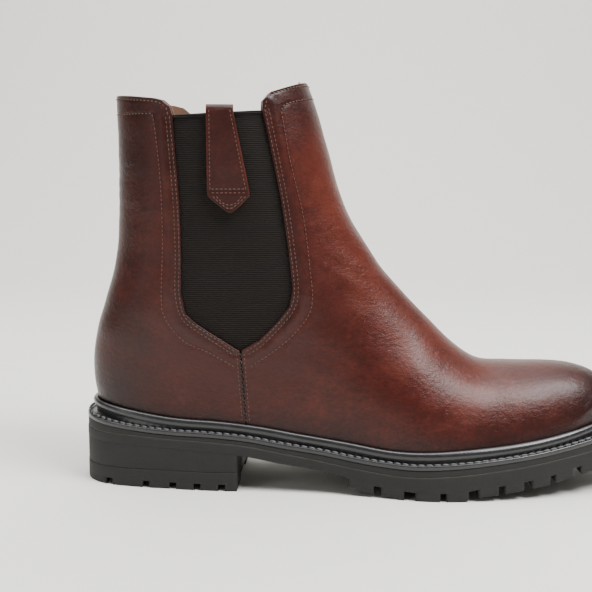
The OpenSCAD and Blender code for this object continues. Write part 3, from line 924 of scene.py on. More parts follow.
@dataclass
class StitchRow:
    """One row of stitches over the upper."""

    chain: np.ndarray
    pitch: float = 2.2
    depth: float = -0.12
    length: float = 1.35
    width: float = 0.52
    height: float = 0.5
    slant: float = 0.0

    def beads(self, side: Side) -> tuple[np.ndarray, np.ndarray, np.ndarray]:
        """Places, directions and normals of the row's stitches on one side.

        Args:
            side: which side of the boot.

        Returns:
            Centres, directions and normals.
        """
        smooth = rounded(self.chain, 24)
        points = FORM.under(smooth[:, 0], smooth[:, 1], side.value, self.depth)
        steps = np.linalg.norm(np.diff(points, axis=0), axis=1)
        reach = np.concatenate([[0], np.cumsum(steps)])
        count = max(int(reach[-1] / self.pitch), 1)
        marks = (np.arange(count) + 0.5) * reach[-1] / count
        x = np.interp(marks, reach, smooth[:, 0])
        z = np.interp(marks, reach, smooth[:, 1])
        centres = FORM.under(x, z, side.value, self.depth)
        sides = np.full(x.shape, float(side.value))
        ups = FORM.normals(x, FORM.skin(x, z, sides), z, sides)
        runs = np.stack([np.interp(marks, reach, np.gradient(points[:, k])) for k in range(3)], 1)
        runs -= ups * np.sum(runs * ups, 1, keepdims=True)
        runs /= np.linalg.norm(runs, axis=1, keepdims=True)
        if self.slant:
            across = np.cross(ups, runs)
            turn = np.radians(self.slant) * np.where(np.arange(count) % 2 == 0, 1, -1)
            runs = runs * np.cos(turn)[:, None] + across * np.sin(turn)[:, None]
        return centres, runs, ups

    def mesh(self, sides: Sequence[Side]) -> tuple[np.ndarray, list]:
        """The row's beads on the named sides."""
        parts = [capsules(*self.beads(side), self.length, self.width, self.height)
                 for side in sides]
        return joined(parts)


def joined(parts: Sequence[tuple[np.ndarray, list]]) -> tuple[np.ndarray, list]:
    """Several meshes as one list of points and faces."""
    points, faces, base = [], [], 0
    for some, these in parts:
        points.append(some)
        faces += [tuple(v + base for v in face) for face in these]
        base += len(some)
    return np.concatenate(points), faces


# ------------------------------------------------------------------ the upper


@dataclass
class Upper:
    """Leather, lining, gores, tabs and their stitching."""

    leather: Any
    strap: Any
    lining: Any
    elastic: Any
    thread: Any
    seam_thread: Any
    leather_t: float = 1.7
    lining_d: float = 3.4
    inside_d: float = 4.4
    edge_round: float = 0.8
    groove: float = 0.2
    groove_w: float = 0.75
    hump: float = 0.42
    band_from: float = 3.2
    band_w: float = 5.2
    wave_h: float = 0.13
    instep_fold_h: float = 0.11
    back_crease_h: float = 0.1
    gore_d: float = 1.95
    gore_t: float = 0.9
    gore_margin: float = 5.0
    rib_pitch: float = 1.06
    rib_h: float = 0.34
    bound_r: float = 0.9
    bound_proud: float = 0.75
    both: tuple = (Side.LATERAL, Side.MEDIAL)
    # Painted highlights: x, z, length, height and strength of each soft lighter patch on the
    # leather.
    highlight_patches: tuple = (
        (32, 76, 24, 16, 0.55), (66, 52, 28, 12, 0.5), (-24, 44, 24, 9, 0.34),
        (-112, 120, 9, 42, 0.3),
    )

    # -- stitch rows

    def front_rows(self) -> list[np.ndarray]:
        """Chains of the front leather's stitch rows."""
        edge = PATTERN.front_edge()
        return [offset_chain(edge, -0.95), offset_chain(edge, -2.9),
                np.array(PATTERN.front_outer_row, float), PATTERN.collar_front(1.1),
                PATTERN.seam(1.9)]

    def rear_rows(self) -> list[np.ndarray]:
        """Chains of the rear leather's stitch rows."""
        edge = PATTERN.rear_edge()
        top = np.array([(-128.6, 202.3), (-117, 200.9), (-105, 199.8), (-99.9, 198.5),
                        (-97.2, 196.3), (-96.1, 192.5)], float)
        outer_top = np.array([(-128.4, 194.3), (-117, 193.8), (-104.5, 193.7)], float)
        return [offset_chain(edge, 0.95), offset_chain(edge, 2.9),
                np.array(PATTERN.rear_outer_row, float), top, outer_top, PATTERN.seam(-1.9)]

    # -- relief of the leather

    def relief(self, x: np.ndarray, z: np.ndarray, rows: list[np.ndarray],
               edge: np.ndarray) -> np.ndarray:
        """Depth of the leather's surface below the plain form.

        Args:
            x: places along the boot.
            z: heights.
            rows: chains of the stitch rows.
            edge: the leather's edge along the gore.

        Returns:
            Depths, negative where it stands proud.
        """
        depth = np.zeros(np.shape(x))
        for chain in rows:
            away = distance(x, z, rounded(chain, 6))
            depth += self.groove * bell(away, 0, self.groove_w)
        away = distance(x, z, edge)
        swell = np.clip((away - self.band_from) / self.band_w, 0, 1)
        depth -= self.hump * np.sin(math.pi * swell) ** 2
        wave = np.sin(x * 0.19 + z * 0.13) * np.sin(z * 0.21 - x * 0.07)
        depth += self.wave_h * wave * step_up(z, 45, 20)
        instep = bell(z, 118, 26) * step_up(x, -40, 30)
        depth += self.instep_fold_h * instep * np.sin(z * 0.42 + x * 0.36 + np.sin(z * 0.11) * 2)
        back = bell(z, 160, 22) * step_up(x, -104, -14)
        depth += self.back_crease_h * back * np.sin(z * 0.9 + np.sin(x * 0.2) * 2)
        return depth

    def burnish(self, points: np.ndarray) -> np.ndarray:
        """How dark the leather was rubbed: at its edges, round the toe, heel and collar.

        Args:
            points: points of the leather.

        Returns:
            0 to 1 for each.
        """
        x, z = points[:, 0], points[:, 2]
        sole = np.exp(-np.maximum(z - FORM.feather_z(x) - 6, 0) / 9) * 0.75
        toe = step_up(x, 84, 46) * 0.8
        heel = step_up(x, -84, -50) * step_up(z, 100, -50) * 0.75
        collar = step_up(z, 168, 36) * 0.6
        rear = step_up(x, -96, -16) * 0.42
        edges = np.minimum(distance(x, z, PATTERN.front_edge()),
                           distance(x, z, PATTERN.rear_edge()))
        gore = np.exp(-edges / 6) * 0.62
        seam = np.exp(-distance(x, z, PATTERN.seam(0.0)) / 3.5) * 0.5
        ankle = bell(x, -12, 26) * bell(z, 66, 22) * 0.28
        return np.clip(np.maximum.reduce([sole, toe, heel, collar, rear, gore, seam]) + ankle, 0, 1)

    def highlight_and_tone(self, points: np.ndarray) -> np.ndarray:
        """Painted highlight: how much lighter the leather is made in a band down the shin and in a
        few soft patches where it catches the light.

        Args:
            points: points of the leather.

        Returns:
            0 to 1 for each.
        """
        x, z = points[:, 0], points[:, 2]
        # painted highlight: a lighter band down the front of the shin, then the soft patches
        shin = bell(x + (z - 110) * 0.42, 2, 15)
        highlight_and_tone = shin * step_up(z, 74, 30) * step_up(z, 196, -40) * 0.5
        for middle_x, middle_z, long, high, strength in self.highlight_patches:
            highlight_and_tone += strength * bell(x, middle_x, long) * bell(z, middle_z, high)
        return np.clip(highlight_and_tone, 0, 1)

    # -- sheets

    def wrapped(self, rows: np.ndarray, cols: np.ndarray, depth: Callable,
                edge_fade: float) -> tuple[np.ndarray, np.ndarray, np.ndarray]:
        """Outer points of rows that run over the centre line from edge to edge.

        Args:
            rows: edge x, z and centre x, z of each row.
            cols: shares from the centre (0) to the edge (1).
            depth: gives the depth from x, z and the distance to the sheet's edges.
            edge_fade: distance over which the edge is finely divided.

        Returns:
            Grid of points, and the x and z they stand over.
        """
        span = np.hypot(rows[:, 0] - rows[:, 2], rows[:, 1] - rows[:, 3])
        near = np.array([1.0, 0.5, 0.2, 0.06, 0.0]) * edge_fade
        base = cols[None, :] ** 2 * (1 - 1.5 * edge_fade / span[:, None])
        ends = 1 - near[None, :] / span[:, None]
        half = np.concatenate([base, ends], 1)
        shares = np.concatenate([half[:, ::-1], half[:, 1:]], 1)
        sides = np.concatenate([-np.ones(half.shape[1]), np.ones(half.shape[1] - 1)])
        x = rows[:, 2:3] + (rows[:, 0:1] - rows[:, 2:3]) * shares
        z = rows[:, 3:4] + (rows[:, 1:2] - rows[:, 3:4]) * shares
        top = np.concatenate([[0], np.cumsum(np.hypot(*(rows[1:, 2:] - rows[:-1, 2:]).T))])
        to_edge = np.minimum((1 - shares) * span[:, None], top[:, None])
        return FORM.under(x, z, sides[None, :], depth(x, z, to_edge)), x, z

    def rounding(self, away: np.ndarray) -> np.ndarray:
        """Extra depth that rounds a cut edge."""
        radius = self.edge_round
        short = np.clip(radius - away, 0, radius)
        return radius - np.sqrt(radius**2 - short**2)

    def leather_sheet(self, name: str, rows: np.ndarray, cols: np.ndarray,
                      stitch_rows: list[np.ndarray], edge: np.ndarray, flip: bool) -> Any:
        """One piece of outer leather with its relief.

        Args:
            name: the piece's name.
            rows: edge x, z and centre x, z of each row.
            cols: shares from the centre to the edge.
            stitch_rows: chains of its stitch rows.
            edge: its edge along the gore.
            flip: whether the faces turn the other way.

        Returns:
            The piece.
        """
        outer, _, _ = self.wrapped(
            rows, cols,
            lambda x, z, away: self.relief(x, z, stitch_rows, edge) + self.rounding(away),
            self.edge_round)
        inner, _, _ = self.wrapped(
            rows, cols, lambda x, z, away: self.leather_t + 0 * x, self.edge_round)
        points, faces = sheet_mesh(outer, inner, flip)
        piece = make_piece(name, points, faces, self.leather)
        wear(piece, "burnish", self.burnish(points))
        wear(piece, "highlight_and_tone", self.highlight_and_tone(points))
        return piece

    def fine_rows(self, rows: Sequence, per: int, first: Sequence[float]) -> np.ndarray:
        """Rows of a table, finely divided.

        Args:
            rows: the table.
            per: rows for each stretch.
            first: extra stations along the first edge.

        Returns:
            The rows.
        """
        table = np.array(rows, float)
        stations = np.linspace(0, len(table) - 1, per * (len(table) - 1) + 1)
        stations = np.unique(np.concatenate([stations, np.array(first)]))
        return along(table, stations)

    def front_table(self, per: int) -> np.ndarray:
        """Rows of the front leather.

        Args:
            per: rows for each stretch of the pattern.

        Returns:
            Edge x, z and ridge x, z of each row.
        """
        whole = [tuple(v) for v in PATTERN.vamp_rows]
        whole += [(x, float(FORM.feather_z(x)), q) for x, q in PATTERN.vamp_feather]
        rows = self.fine_rows(whole, per, (0.02, 0.06, 0.12, 0.2))
        top = FORM.ridge(rows[:, 2])
        return np.stack([rows[:, 0], rows[:, 1], top[:, 0], top[:, 1]], 1)

    def rear_table(self, per: int) -> np.ndarray:
        """Rows of the rear leather, over and under the bend.

        Args:
            per: rows for each stretch of the pattern.

        Returns:
            Edge x, z and back x, z of each row.
        """
        low_z = float(FORM.feather_z(FORM.feather_back))
        whole = [tuple(v) for v in PATTERN.quarter_rows] + [tuple(v) for v in PATTERN.heel_rows]
        whole.append((-58.5, float(FORM.feather_z(-58.5)), low_z))
        rows = self.fine_rows(whole, per, (0.05, 0.12, 0.25, 0.4))
        return np.stack([rows[:, 0], rows[:, 1], FORM.back_x(rows[:, 2]), rows[:, 2]], 1)

    def build_leather(self) -> None:
        """Front and rear leather."""
        front = self.leather_sheet(
            "front_leather", self.front_table(12), np.linspace(0, 1, 72), self.front_rows(),
            PATTERN.front_edge(), False)
        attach(front, "boot")
        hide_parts("vamp")
        rear = self.leather_sheet(
            "rear_leather", self.rear_table(12), np.linspace(0, 1, 56), self.rear_rows(),
            PATTERN.rear_edge(), True)
        self.bend(rear)
        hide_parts("quarter_upper", "quarter_lower")

    @staticmethod
    def bend(piece: Any) -> None:
        """Bakes a rear piece's transform into its mesh."""
        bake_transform(piece)

    def build_lining(self) -> None:
        """Front and rear lining."""
        def plain(depth: float) -> Callable:
            """A constant depth."""
            return lambda x, z, away: depth + 0 * x

        front = self.front_table(5)
        rear = self.rear_table(5)
        cols = np.linspace(0, 1, 30)
        for name, rows, flip, nodes in (
            ("front_lining", front, False, ("vamp_lining",)),
            ("rear_lining", rear, True, ("back_lining", "heel_lining")),
        ):
            outer, _, _ = self.wrapped(rows, cols, plain(self.lining_d), 0.6)
            inner, _, _ = self.wrapped(rows, cols, plain(self.inside_d), 0.6)
            piece = make_piece(name, *sheet_mesh(outer, inner, flip), self.lining)
            if flip:
                self.bend(piece)
            else:
                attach(piece, "boot")
            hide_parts(*nodes)

    # -- gores

    def build_gore(self, side: Side) -> None:
        """One ribbed elastic panel.

        Args:
            side: which side of the boot.
        """
        margin = self.gore_margin
        table = np.array(PATTERN.gore_rows + ((-63, 71.9, -59.6, 71.9),), float)
        length = np.concatenate([[0], np.cumsum(np.abs(np.diff(table[:, 1])))])
        count = int(length[-1] / self.rib_pitch * 8)
        stations = np.interp(np.linspace(0, length[-1], count), length, np.arange(len(table)))
        rows = along(table, stations)
        across = np.linspace(0, 1, 46)
        left_x, right_x = rows[:, 0:1] - margin, rows[:, 2:3] + margin
        x = left_x + (right_x - left_x) * across
        z = rows[:, 1:2] + (rows[:, 3:4] - rows[:, 1:2]) * across
        phase = z / self.rib_pitch
        rib = 0.5 + 0.5 * np.cos(2 * math.pi * phase)
        wander = 0.02 * np.sin(x * 1.9 + np.floor(phase) * 2.4)
        from_top = z[0][None, :] - z
        bound = from_top < 2 * self.bound_r
        roll = np.sqrt(np.clip(1 - ((from_top - self.bound_r) / self.bound_r) ** 2, 0, 1)) * bound
        depth = self.gore_d + self.rib_h * (1 - rib**0.8) + wander - self.bound_proud * roll
        outer = FORM.under(x, z, side.value, depth)
        inner = FORM.under(x, z, side.value, self.gore_d + self.gore_t + 0 * x)
        points, faces = sheet_mesh(outer, inner, side is Side.MEDIAL)
        name = "gore_" + side.name.lower()
        piece = make_piece("elastic_" + side.name.lower(), points, faces, self.elastic)
        # Painted shade: the point value is low in the grooves between the ribs, where the finish
        # paints dark; the bound top edge gets a fixed 0.25.
        shown = np.where(bound, 0.25, rib)
        wear(piece, "rib", np.concatenate([shown.ravel(), np.zeros(shown.size)]))
        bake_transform(piece)
        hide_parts(name)

    # -- stitching

    def build_stitching(self) -> None:
        """All rows on the leather."""
        front = joined([StitchRow(chain).mesh(self.both) for chain in self.front_rows()])
        piece = make_piece("front_stitching", *front, self.thread)
        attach(piece, "boot")
        rear = joined([StitchRow(chain).mesh(self.both) for chain in self.rear_rows()])
        piece = make_piece("rear_stitching", *rear, self.thread)
        self.bend(piece)
        zigzag = StitchRow(PATTERN.seam(0.0), pitch=1.7, length=2.6, width=0.6, height=0.5,
                           slant=52, depth=-0.05)
        piece = make_piece("side_seam_zigzag", *zigzag.mesh(self.both), self.seam_thread)
        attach(piece, "boot")


@dataclass
class PullTab:
    """A leather strap folded over the gore's edge and stitched at its pointed end."""

    side: Side
    leather: Any
    thread: Any
    top_w: float = 13.0
    low_w: float = 21.4
    hinge_z: float = 155.3
    top_z: float = 194.8
    point_z: float = 144.3
    shoulder_z: float = 152.8
    narrows_over: float = 43.0
    proud: float = 0.95
    thick: float = 1.7
    rise: float = 3.3
    crown_d: float = 2.0
    inner_d: float = 4.7
    fold_rows: int = 8
    belly: float = 0.25
    edge_round: float = 0.7
    groove: float = 0.16
    row_inset: float = 1.7
    stitch_pitch: float = 2.1

    def half(self, z: np.ndarray) -> np.ndarray:
        """Half-width of the strap, which narrows upwards and ends in a point below.

        Args:
            z: heights.

        Returns:
            The half-widths.
        """
        share = np.clip((z - self.hinge_z) / self.narrows_over, 0, 1)
        upper = self.low_w + (self.top_w - self.low_w) * share
        low = np.clip((z - self.point_z) / (self.shoulder_z - self.point_z), 0, 1)
        point = 1.2 + (self.low_w - 1.2) * low**0.82
        return np.minimum(upper, point) / 2

    def middle(self, z: np.ndarray) -> np.ndarray:
        """X of the strap's centre line at each height."""
        return -66.4 - 4.2 * (z - self.hinge_z) / self.narrows_over

    def face(self, z: np.ndarray, shares: np.ndarray, depth: Any) -> np.ndarray:
        """Points across the strap at each height."""
        x = self.middle(z)[:, None] + self.half(z)[:, None] * shares[None, :]
        return FORM.under(x, np.repeat(z[:, None], len(shares), 1), self.side.value, depth)

    def build(self) -> None:
        """Strap outside, strap inside and the stitches."""
        name = self.side.name.lower()
        shares = np.concatenate([[-1, -0.985, -0.955, -0.9], np.linspace(-0.8, 0.8, 21),
                                 [0.9, 0.955, 0.985, 1]])
        edge = 1 - np.abs(shares)
        z = np.concatenate([np.linspace(self.point_z, 154, 30), np.linspace(154.6, self.top_z, 60)])
        half = self.half(z)
        away = edge[None, :] * half[:, None]
        tip = np.clip(z - self.point_z, 0, 5)[:, None]
        away = np.minimum(away, tip + 0.0 * away)
        radius = self.edge_round
        lip = radius - np.sqrt(np.maximum(radius**2 - np.clip(radius - away, 0, radius) ** 2, 0))
        dip = self.groove * bell(away, self.row_inset, 0.5)
        cross = self.groove * 0.875 * bell(z, self.hinge_z, 1.2)[:, None]
        crowned = (1 - shares**2)[None, :] * step_up(z, self.hinge_z + 2.7, 10)[:, None]
        outer_d = -self.proud + lip + dip + cross - self.belly * crowned
        outer = self.face(z, shares, outer_d)
        inner_d = -self.proud + self.thick + 0.0 * outer_d
        inner = self.face(z, shares, inner_d)
        over = self.fold(shares, -self.proud, self.rise, lip[-1])
        beneath = self.fold(shares, self.thick - self.proud, self.rise - self.thick)
        outer = np.concatenate([outer, over])
        inner = np.concatenate([inner, beneath])
        points, faces = sheet_mesh(outer, inner, self.side is Side.LATERAL)
        piece = make_piece("strap_outside_" + name, points, faces, self.leather)
        wear(piece, "burnish", np.full(len(points), 0.38))
        wear(piece, "highlight_and_tone", self.edge_glow(away, len(over), len(points)))
        self.lift(piece)
        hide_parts("pull_tab_" + name)
        self.build_inside(name)
        self.build_stitches(name)

    @staticmethod
    def edge_glow(away: np.ndarray, extra_rows: int, count: int) -> np.ndarray:
        """Lighter cut edge round the strap."""
        rim = np.exp(-((away / 0.7) ** 2)) * 0.8
        grid = np.concatenate([rim, np.repeat(rim[-1:], extra_rows, 0)]).ravel()
        return np.concatenate([grid, np.full(count - grid.size, 0.3)])

    def fold(self, shares: np.ndarray, start_d: float, rise: float, lip: Any = 0.0) -> np.ndarray:
        """One face of the fold, from the strap's top to the crown.

        Args:
            shares: places across the strap, -1 to 1.
            start_d: depth at which the face starts.
            rise: how far it climbs.
            lip: extra depth of the rounded edges where it starts.

        Returns:
            Rows of points.
        """
        turn = np.linspace(0, math.pi / 2, self.fold_rows + 1)[1:, None]
        fall = 1 - np.cos(turn)
        top = np.array([self.top_z])
        x = self.middle(top) + self.half(top) * shares[None, :] + 0 * turn
        z = self.top_z + rise * np.sin(turn) + 0 * x
        depth = start_d + (self.crown_d - start_d) * fall + lip * (1 - fall)
        return FORM.under(x, z, self.side.value, depth)

    def lift(self, piece: Any) -> None:
        """Bakes the outer leg's transform into its mesh."""
        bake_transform(piece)

    def build_inside(self, name: str) -> None:
        """The inner leg and its half of the fold.

        Args:
            name: the side's name.
        """
        shares = np.linspace(-1, 1, 15)
        z = np.linspace(168, self.top_z, 16)
        wide = self.top_w / 2
        x = self.middle(z)[:, None] + wide * shares[None, :]
        grid_z = np.repeat(z[:, None], len(shares), 1)
        near = FORM.under(x, grid_z, self.side.value, self.inner_d)
        far = FORM.under(x, grid_z, self.side.value, self.inner_d + self.thick)
        far = np.concatenate([far, self.fold(shares, self.inner_d + self.thick, self.rise)])
        near = np.concatenate([near, self.fold(shares, self.inner_d, self.rise - self.thick)])
        points, faces = sheet_mesh(far, near, self.side is Side.MEDIAL)
        piece = make_piece("strap_inside_" + name, points, faces, self.leather)
        wear(piece, "burnish", np.full(len(points), 0.4))
        wear(piece, "highlight_and_tone", np.full(len(points), 0.2))
        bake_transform(piece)
        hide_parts("tab_anchor_" + name)

    def build_stitches(self, name: str) -> None:
        """Rows inside the strap's edges and at its stitched end.

        Args:
            name: the side's name.
        """
        def border(sign: int) -> np.ndarray:
            """The row inside one edge."""
            z = np.array([195.5, 182, 170, 160, 155.6])
            return np.stack([self.middle(z) + sign * (self.half(z) - self.row_inset), z], 1)

        def level(z: float) -> np.ndarray:
            """A row across the strap."""
            zs = np.full(3, z)
            reach = self.half(zs) - 1.9
            return np.stack([self.middle(zs) + reach * np.array([-1, 0, 1]), zs], 1)

        def point(inset: float) -> np.ndarray:
            """A row round the pointed end."""
            centre = float(self.middle(np.array([149.0]))[0])
            wide, half_way = 10.2 - inset, 6 - inset * 0.8
            return np.array([(centre - wide, self.shoulder_z), (centre - half_way, 149.2),
                             (centre, 144.8 + inset), (centre + half_way, 149.2),
                             (centre + wide, self.shoulder_z)])

        rows = [border(-1), border(1), level(self.hinge_z + 0.9),
                level(self.hinge_z - 1.0), point(1.7), point(3.5)]
        depth = -self.proud - 0.12
        parts = [StitchRow(chain, pitch=self.stitch_pitch, depth=depth, length=1.35, width=0.5,
                           height=0.5).mesh([self.side]) for chain in rows]
        piece = make_piece("strap_stitching_" + name, *joined(parts), self.thread)
        self.lift(piece)


# ------------------------------------------------------------------ the bottom


@dataclass
class Sole:
    """Welt, midsole, outsole and heel, all laid out from the upper's feather line."""

    rubber: Any
    welt_rubber: Any
    line: Any
    thread: Any
    stations: int = 150
    side_w: float = 4.4
    end_w: float = 2.4
    welt_t: float = 2.6
    lip_h: float = 5.0
    roll_drop: float = 1.9
    roll_h: float = 2.4
    roll_out: float = 1.25
    roll_w: float = 1.75
    stitch_pitch: float = 4.0
    heel_front: float = -63.1
    lugs_back: float = -5.5
    lug_depth: float = 4.3
    heel_lug: float = 3.4
    heel_gap_w: float = 3.6
    top_piece_h: float = 9.8
    welt_z: Track = Track((
        (-148, 37.2), (-137, 35.4), (-120, 32.9), (-98, 31.1), (-82, 30.8), (-70, 30.1),
        (-56, 28.6), (-41, 26.1), (-20, 23.2), (5, 19.4), (25, 18.1), (40, 18.6), (55, 19.7),
        (76, 21.9), (97, 24.8), (118, 29), (148, 36.3)))
    joint_z: Track = Track((
        (-148, 28.5), (-113, 27.1), (-98, 26.3), (-82, 25.8), (-66, 24.7), (-56, 23.6),
        (-41, 20.9), (-25, 18.2), (-10, 15.5), (6, 13.2), (16, 12.1), (28, 11.9), (45, 12.8),
        (65, 14.7), (86, 17.3), (107, 20.5), (118, 22.2), (148, 27.5)))
    waist_z: Track = Track((
        (-148, 23.5), (-100, 21.5), (-63, 19.1), (-53, 17.6), (-40.6, 15.3), (-25, 13.1),
        (-10, 10.3), (-5.5, 9.4)))
    ground_z: Track = Track((
        (-5.5, 4.5), (7, 1.8), (12, 1.3), (22.6, 0.3), (28, 0), (44, 0), (55, 1), (60, 1.9),
        (70, 3.1), (83, 4.8), (97, 7), (109, 9.9), (120, 12), (148, 18.5)))
    lug_gaps: tuple = ((9.3, 3.6), (25.5, 5.6), (42.2, 3.1), (57.4, 4.9), (71.7, 3.1),
                       (85.2, 4.3), (98.2, 2.8), (111.3, 4.4), (124, 3.4))
    heel_gaps: tuple = (-132.1, -111.5, -97.1, -84.1, -71.2)
    outline: np.ndarray = field(init=False)

    def __post_init__(self) -> None:
        """Lays out the feather line once."""
        shares = np.linspace(0, 1, self.stations + 1)
        lateral = FORM.contour(shares, -1, 0.0)
        medial = FORM.contour(shares, 1, 0.0)
        self.outline = np.concatenate([lateral, medial[-2:0:-1]])

    def edge_w(self, x: np.ndarray) -> np.ndarray:
        """How far the sole's edge stands out from the feather line."""
        return self.side_w + self.end_w * (ease((x - 99) / 40) + ease((-114 - x) / 25))

    @staticmethod
    def outward(loop: np.ndarray) -> np.ndarray:
        """Outward directions in plan round a closed loop."""
        run = np.roll(loop, -1, 0) - np.roll(loop, 1, 0)
        out = np.stack([run[:, 1], -run[:, 0]], 1)
        return out / np.linalg.norm(out, axis=1, keepdims=True)

    def plan(self, share: float, by: float) -> np.ndarray:
        """Plan loop: the feather line moved out by a share of the edge plus a distance."""
        out = self.outward(self.outline[:, :2])
        width = share * self.edge_w(self.outline[:, 0]) + by
        return self.outline[:, :2] + out * width[:, None]

    # -- welt

    def build_welt(self) -> None:
        """Storm welt with its rounded lip, and the stitches on its strip."""
        shares = np.linspace(0, 1, self.stations + 1)

        def ring(rise: float, by: float, share: float, z: Callable) -> np.ndarray:
            """One line of the section, all the way round.

            Args:
                rise: height of the contour it is laid out from.
                by: distance outwards.
                share: share of the edge's width added to it.
                z: gives the heights from the contour.

            Returns:
                The line's points.
            """
            loop = np.concatenate([FORM.contour(shares, -1, rise),
                                   FORM.contour(shares, 1, rise)[-2:0:-1]])
            out = self.outward(loop[:, :2])
            width = by + share * self.edge_w(loop[:, 0])
            flat = loop[:, :2] + out * width[:, None]
            return np.concatenate([flat, z(loop)[:, None]], 1)

        def over(lift: float) -> Callable:
            """Height over the feather line."""
            return lambda loop: loop[:, 2] + lift

        def strip(drop: float) -> Callable:
            """Height under the strip's top."""
            return lambda loop: self.welt_z(loop[:, 0]) - drop

        lines = [ring(self.lip_h, 0.1, 0, over(0.0))]
        for angle in np.linspace(100, -50, 9):
            turn = math.radians(angle)
            rise = self.lip_h - self.roll_drop + self.roll_h * math.sin(turn)
            lines.append(ring(max(rise, 0.2), self.roll_out + self.roll_w * math.cos(turn), 0,
                              lambda loop, r=rise: FORM.feather_z(loop[:, 0]) + r))
        lines += [
            ring(0.6, 2.1, 0, over(-0.2)), ring(0.0, 1.9, 0, strip(-0.25)),
            ring(0.0, 2.1, 0, strip(0.12)), ring(0.0, 2.5, 0, strip(0.0)),
            ring(0.0, -0.55, 1, strip(0.0)), ring(0.0, -0.15, 1, strip(0.12)),
            ring(0.0, 0.0, 1, strip(0.5)), ring(0.0, 0.0, 1, strip(self.welt_t - 0.45)),
            ring(0.0, -0.4, 1, strip(self.welt_t - 0.05)),
            ring(0.0, -4.6, 0, strip(self.welt_t)), ring(0.0, -4.6, 0, over(-0.7)),
            ring(0.0, 0.1, 0, over(-0.7)),
        ]
        sections = np.stack(lines, 1)
        piece = make_piece("storm_welt", *ring_mesh(sections, True), self.welt_rubber)
        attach(piece, "boot")
        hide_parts("welt")
        self.build_welt_stitches()

    def build_welt_stitches(self) -> None:
        """Lockstitches on the welt strip, each a slanted bead."""
        loop = self.plan(1, -1.25)
        closed = np.concatenate([loop, loop[:1]])
        steps = np.linalg.norm(np.diff(closed, axis=0), axis=1)
        reach = np.concatenate([[0], np.cumsum(steps)])
        count = int(reach[-1] / self.stitch_pitch)
        marks = (np.arange(count) + 0.5) * reach[-1] / count
        x, y = (np.interp(marks, reach, closed[:, k]) for k in (0, 1))
        z = self.welt_z(x) + 0.12
        ahead = [np.interp((marks + 0.5) % reach[-1], reach, closed[:, k]) for k in (0, 1)]
        runs = np.stack([ahead[0] - x, ahead[1] - y, self.welt_z(ahead[0]) - self.welt_z(x)], 1)
        runs /= np.linalg.norm(runs, axis=1, keepdims=True)
        out = np.stack([runs[:, 1], -runs[:, 0], 0 * x], 1)
        ups = np.tile([0.0, 0.0, 1.0], (count, 1)) + 0.35 * out
        ups -= runs * np.sum(ups * runs, 1, keepdims=True)
        ups /= np.linalg.norm(ups, axis=1, keepdims=True)
        runs = runs + 0.28 * out
        runs /= np.linalg.norm(runs, axis=1, keepdims=True)
        points, faces = capsules(np.stack([x, y, z], 1), runs, ups, 3.5, 1.5, 1.3)
        piece = make_piece("welt_stitches", points, faces, self.thread)
        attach(piece, "boot")
        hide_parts("welt_thread")

    # -- blocks

    def prism(self, outer: np.ndarray, inner: np.ndarray, low: Callable, high: Callable,
              bevel: float) -> tuple[np.ndarray, list]:
        """A rounded slab between two plan lines and two heights.

        Args:
            outer: points of one plan line.
            inner: points of the other, one for each.
            low: underside height from x.
            high: top height from x.
            bevel: how far its edges are rounded.

        Returns:
            Points and faces.
        """
        first = np.allclose(outer[0], inner[0], atol=1e-6)
        last = np.allclose(outer[-1], inner[-1], atol=1e-6)
        back = inner[::-1]
        back = back[1:] if last else back
        back = back[:-1] if first else back
        loop = np.concatenate([outer, back])
        if np.sum(loop[:, 0] * np.roll(loop[:, 1], -1) - np.roll(loop[:, 0], -1) * loop[:, 1]) < 0:
            sign = -1.0
        else:
            sign = 1.0
        out = self.outward(loop) * sign
        size = len(loop)
        levels = []
        for turn in (0, 30, 60, 90):
            a = math.radians(turn)
            levels.append((-bevel * (1 - math.sin(a)), "low", bevel * (1 - math.cos(a))))
        for turn in (90, 60, 30, 0):
            a = math.radians(turn)
            levels.append((-bevel * (1 - math.sin(a)), "high", -bevel * (1 - math.cos(a))))
        points = []
        for by, which, lift in levels:
            flat = loop + out * by
            z = (low if which == "low" else high)(flat[:, 0]) + lift
            points.append(np.concatenate([flat, z[:, None]], 1))
        faces = []
        for k in range(len(levels) - 1):
            for i in range(size):
                a, b = k * size + i, k * size + (i + 1) % size
                quad = (a, b, b + size, a + size)
                faces.append(quad if sign > 0 else quad[::-1])
        rows = len(outer)

        def mate(i: int) -> int:
            """Index in the loop of the inner line's point i."""
            if first and i == 0:
                return 0
            if last and i == rows - 1:
                return rows - 1
            return rows + (rows - 1 - i) - (1 if last else 0)

        top = (len(levels) - 1) * size
        for i in range(rows - 1):
            corners = [i, i + 1, mate(i + 1), mate(i)]
            unique = list(dict.fromkeys(corners))
            if len(unique) < 3:
                continue
            low_face = tuple(unique[::-1]) if sign > 0 else tuple(unique)
            faces.append(low_face)
            faces.append(tuple(v + top for v in reversed(low_face)))
        return np.concatenate(points), faces

    def lines(self, share: float, by: float, from_x: float, to_x: float,
              count: int = 0) -> tuple[np.ndarray, np.ndarray]:
        """Outer and inner plan lines of a stretch of the sole.

        Args:
            share: share of the edge width.
            by: extra distance.
            from_x: where the stretch starts.
            to_x: where it ends.
            count: points on each line; 0 keeps the loop's own stations.

        Returns:
            The lateral and the medial line.
        """
        loop = self.plan(share, by)
        half = self.stations + 1
        lateral = loop[:half]
        medial = np.concatenate([loop[:1], loop[half:][::-1], loop[half - 1:half]])
        if count == 0:
            return lateral, medial
        low = max(from_x, float(lateral[0, 0]))
        high = min(to_x, float(lateral[-1, 0]))
        turn = np.linspace(0, 1, count)
        x = low + (high - low) * turn
        if from_x <= lateral[0, 0]:
            x = low + (high - low) * (1 - np.cos(math.pi / 2 * turn))
        if to_x >= lateral[-1, 0]:
            x = low + (high - low) * np.sin(math.pi / 2 * turn)
        return tuple(np.stack([x, np.interp(x, line[:, 0], line[:, 1])], 1)
                     for line in (lateral, medial))

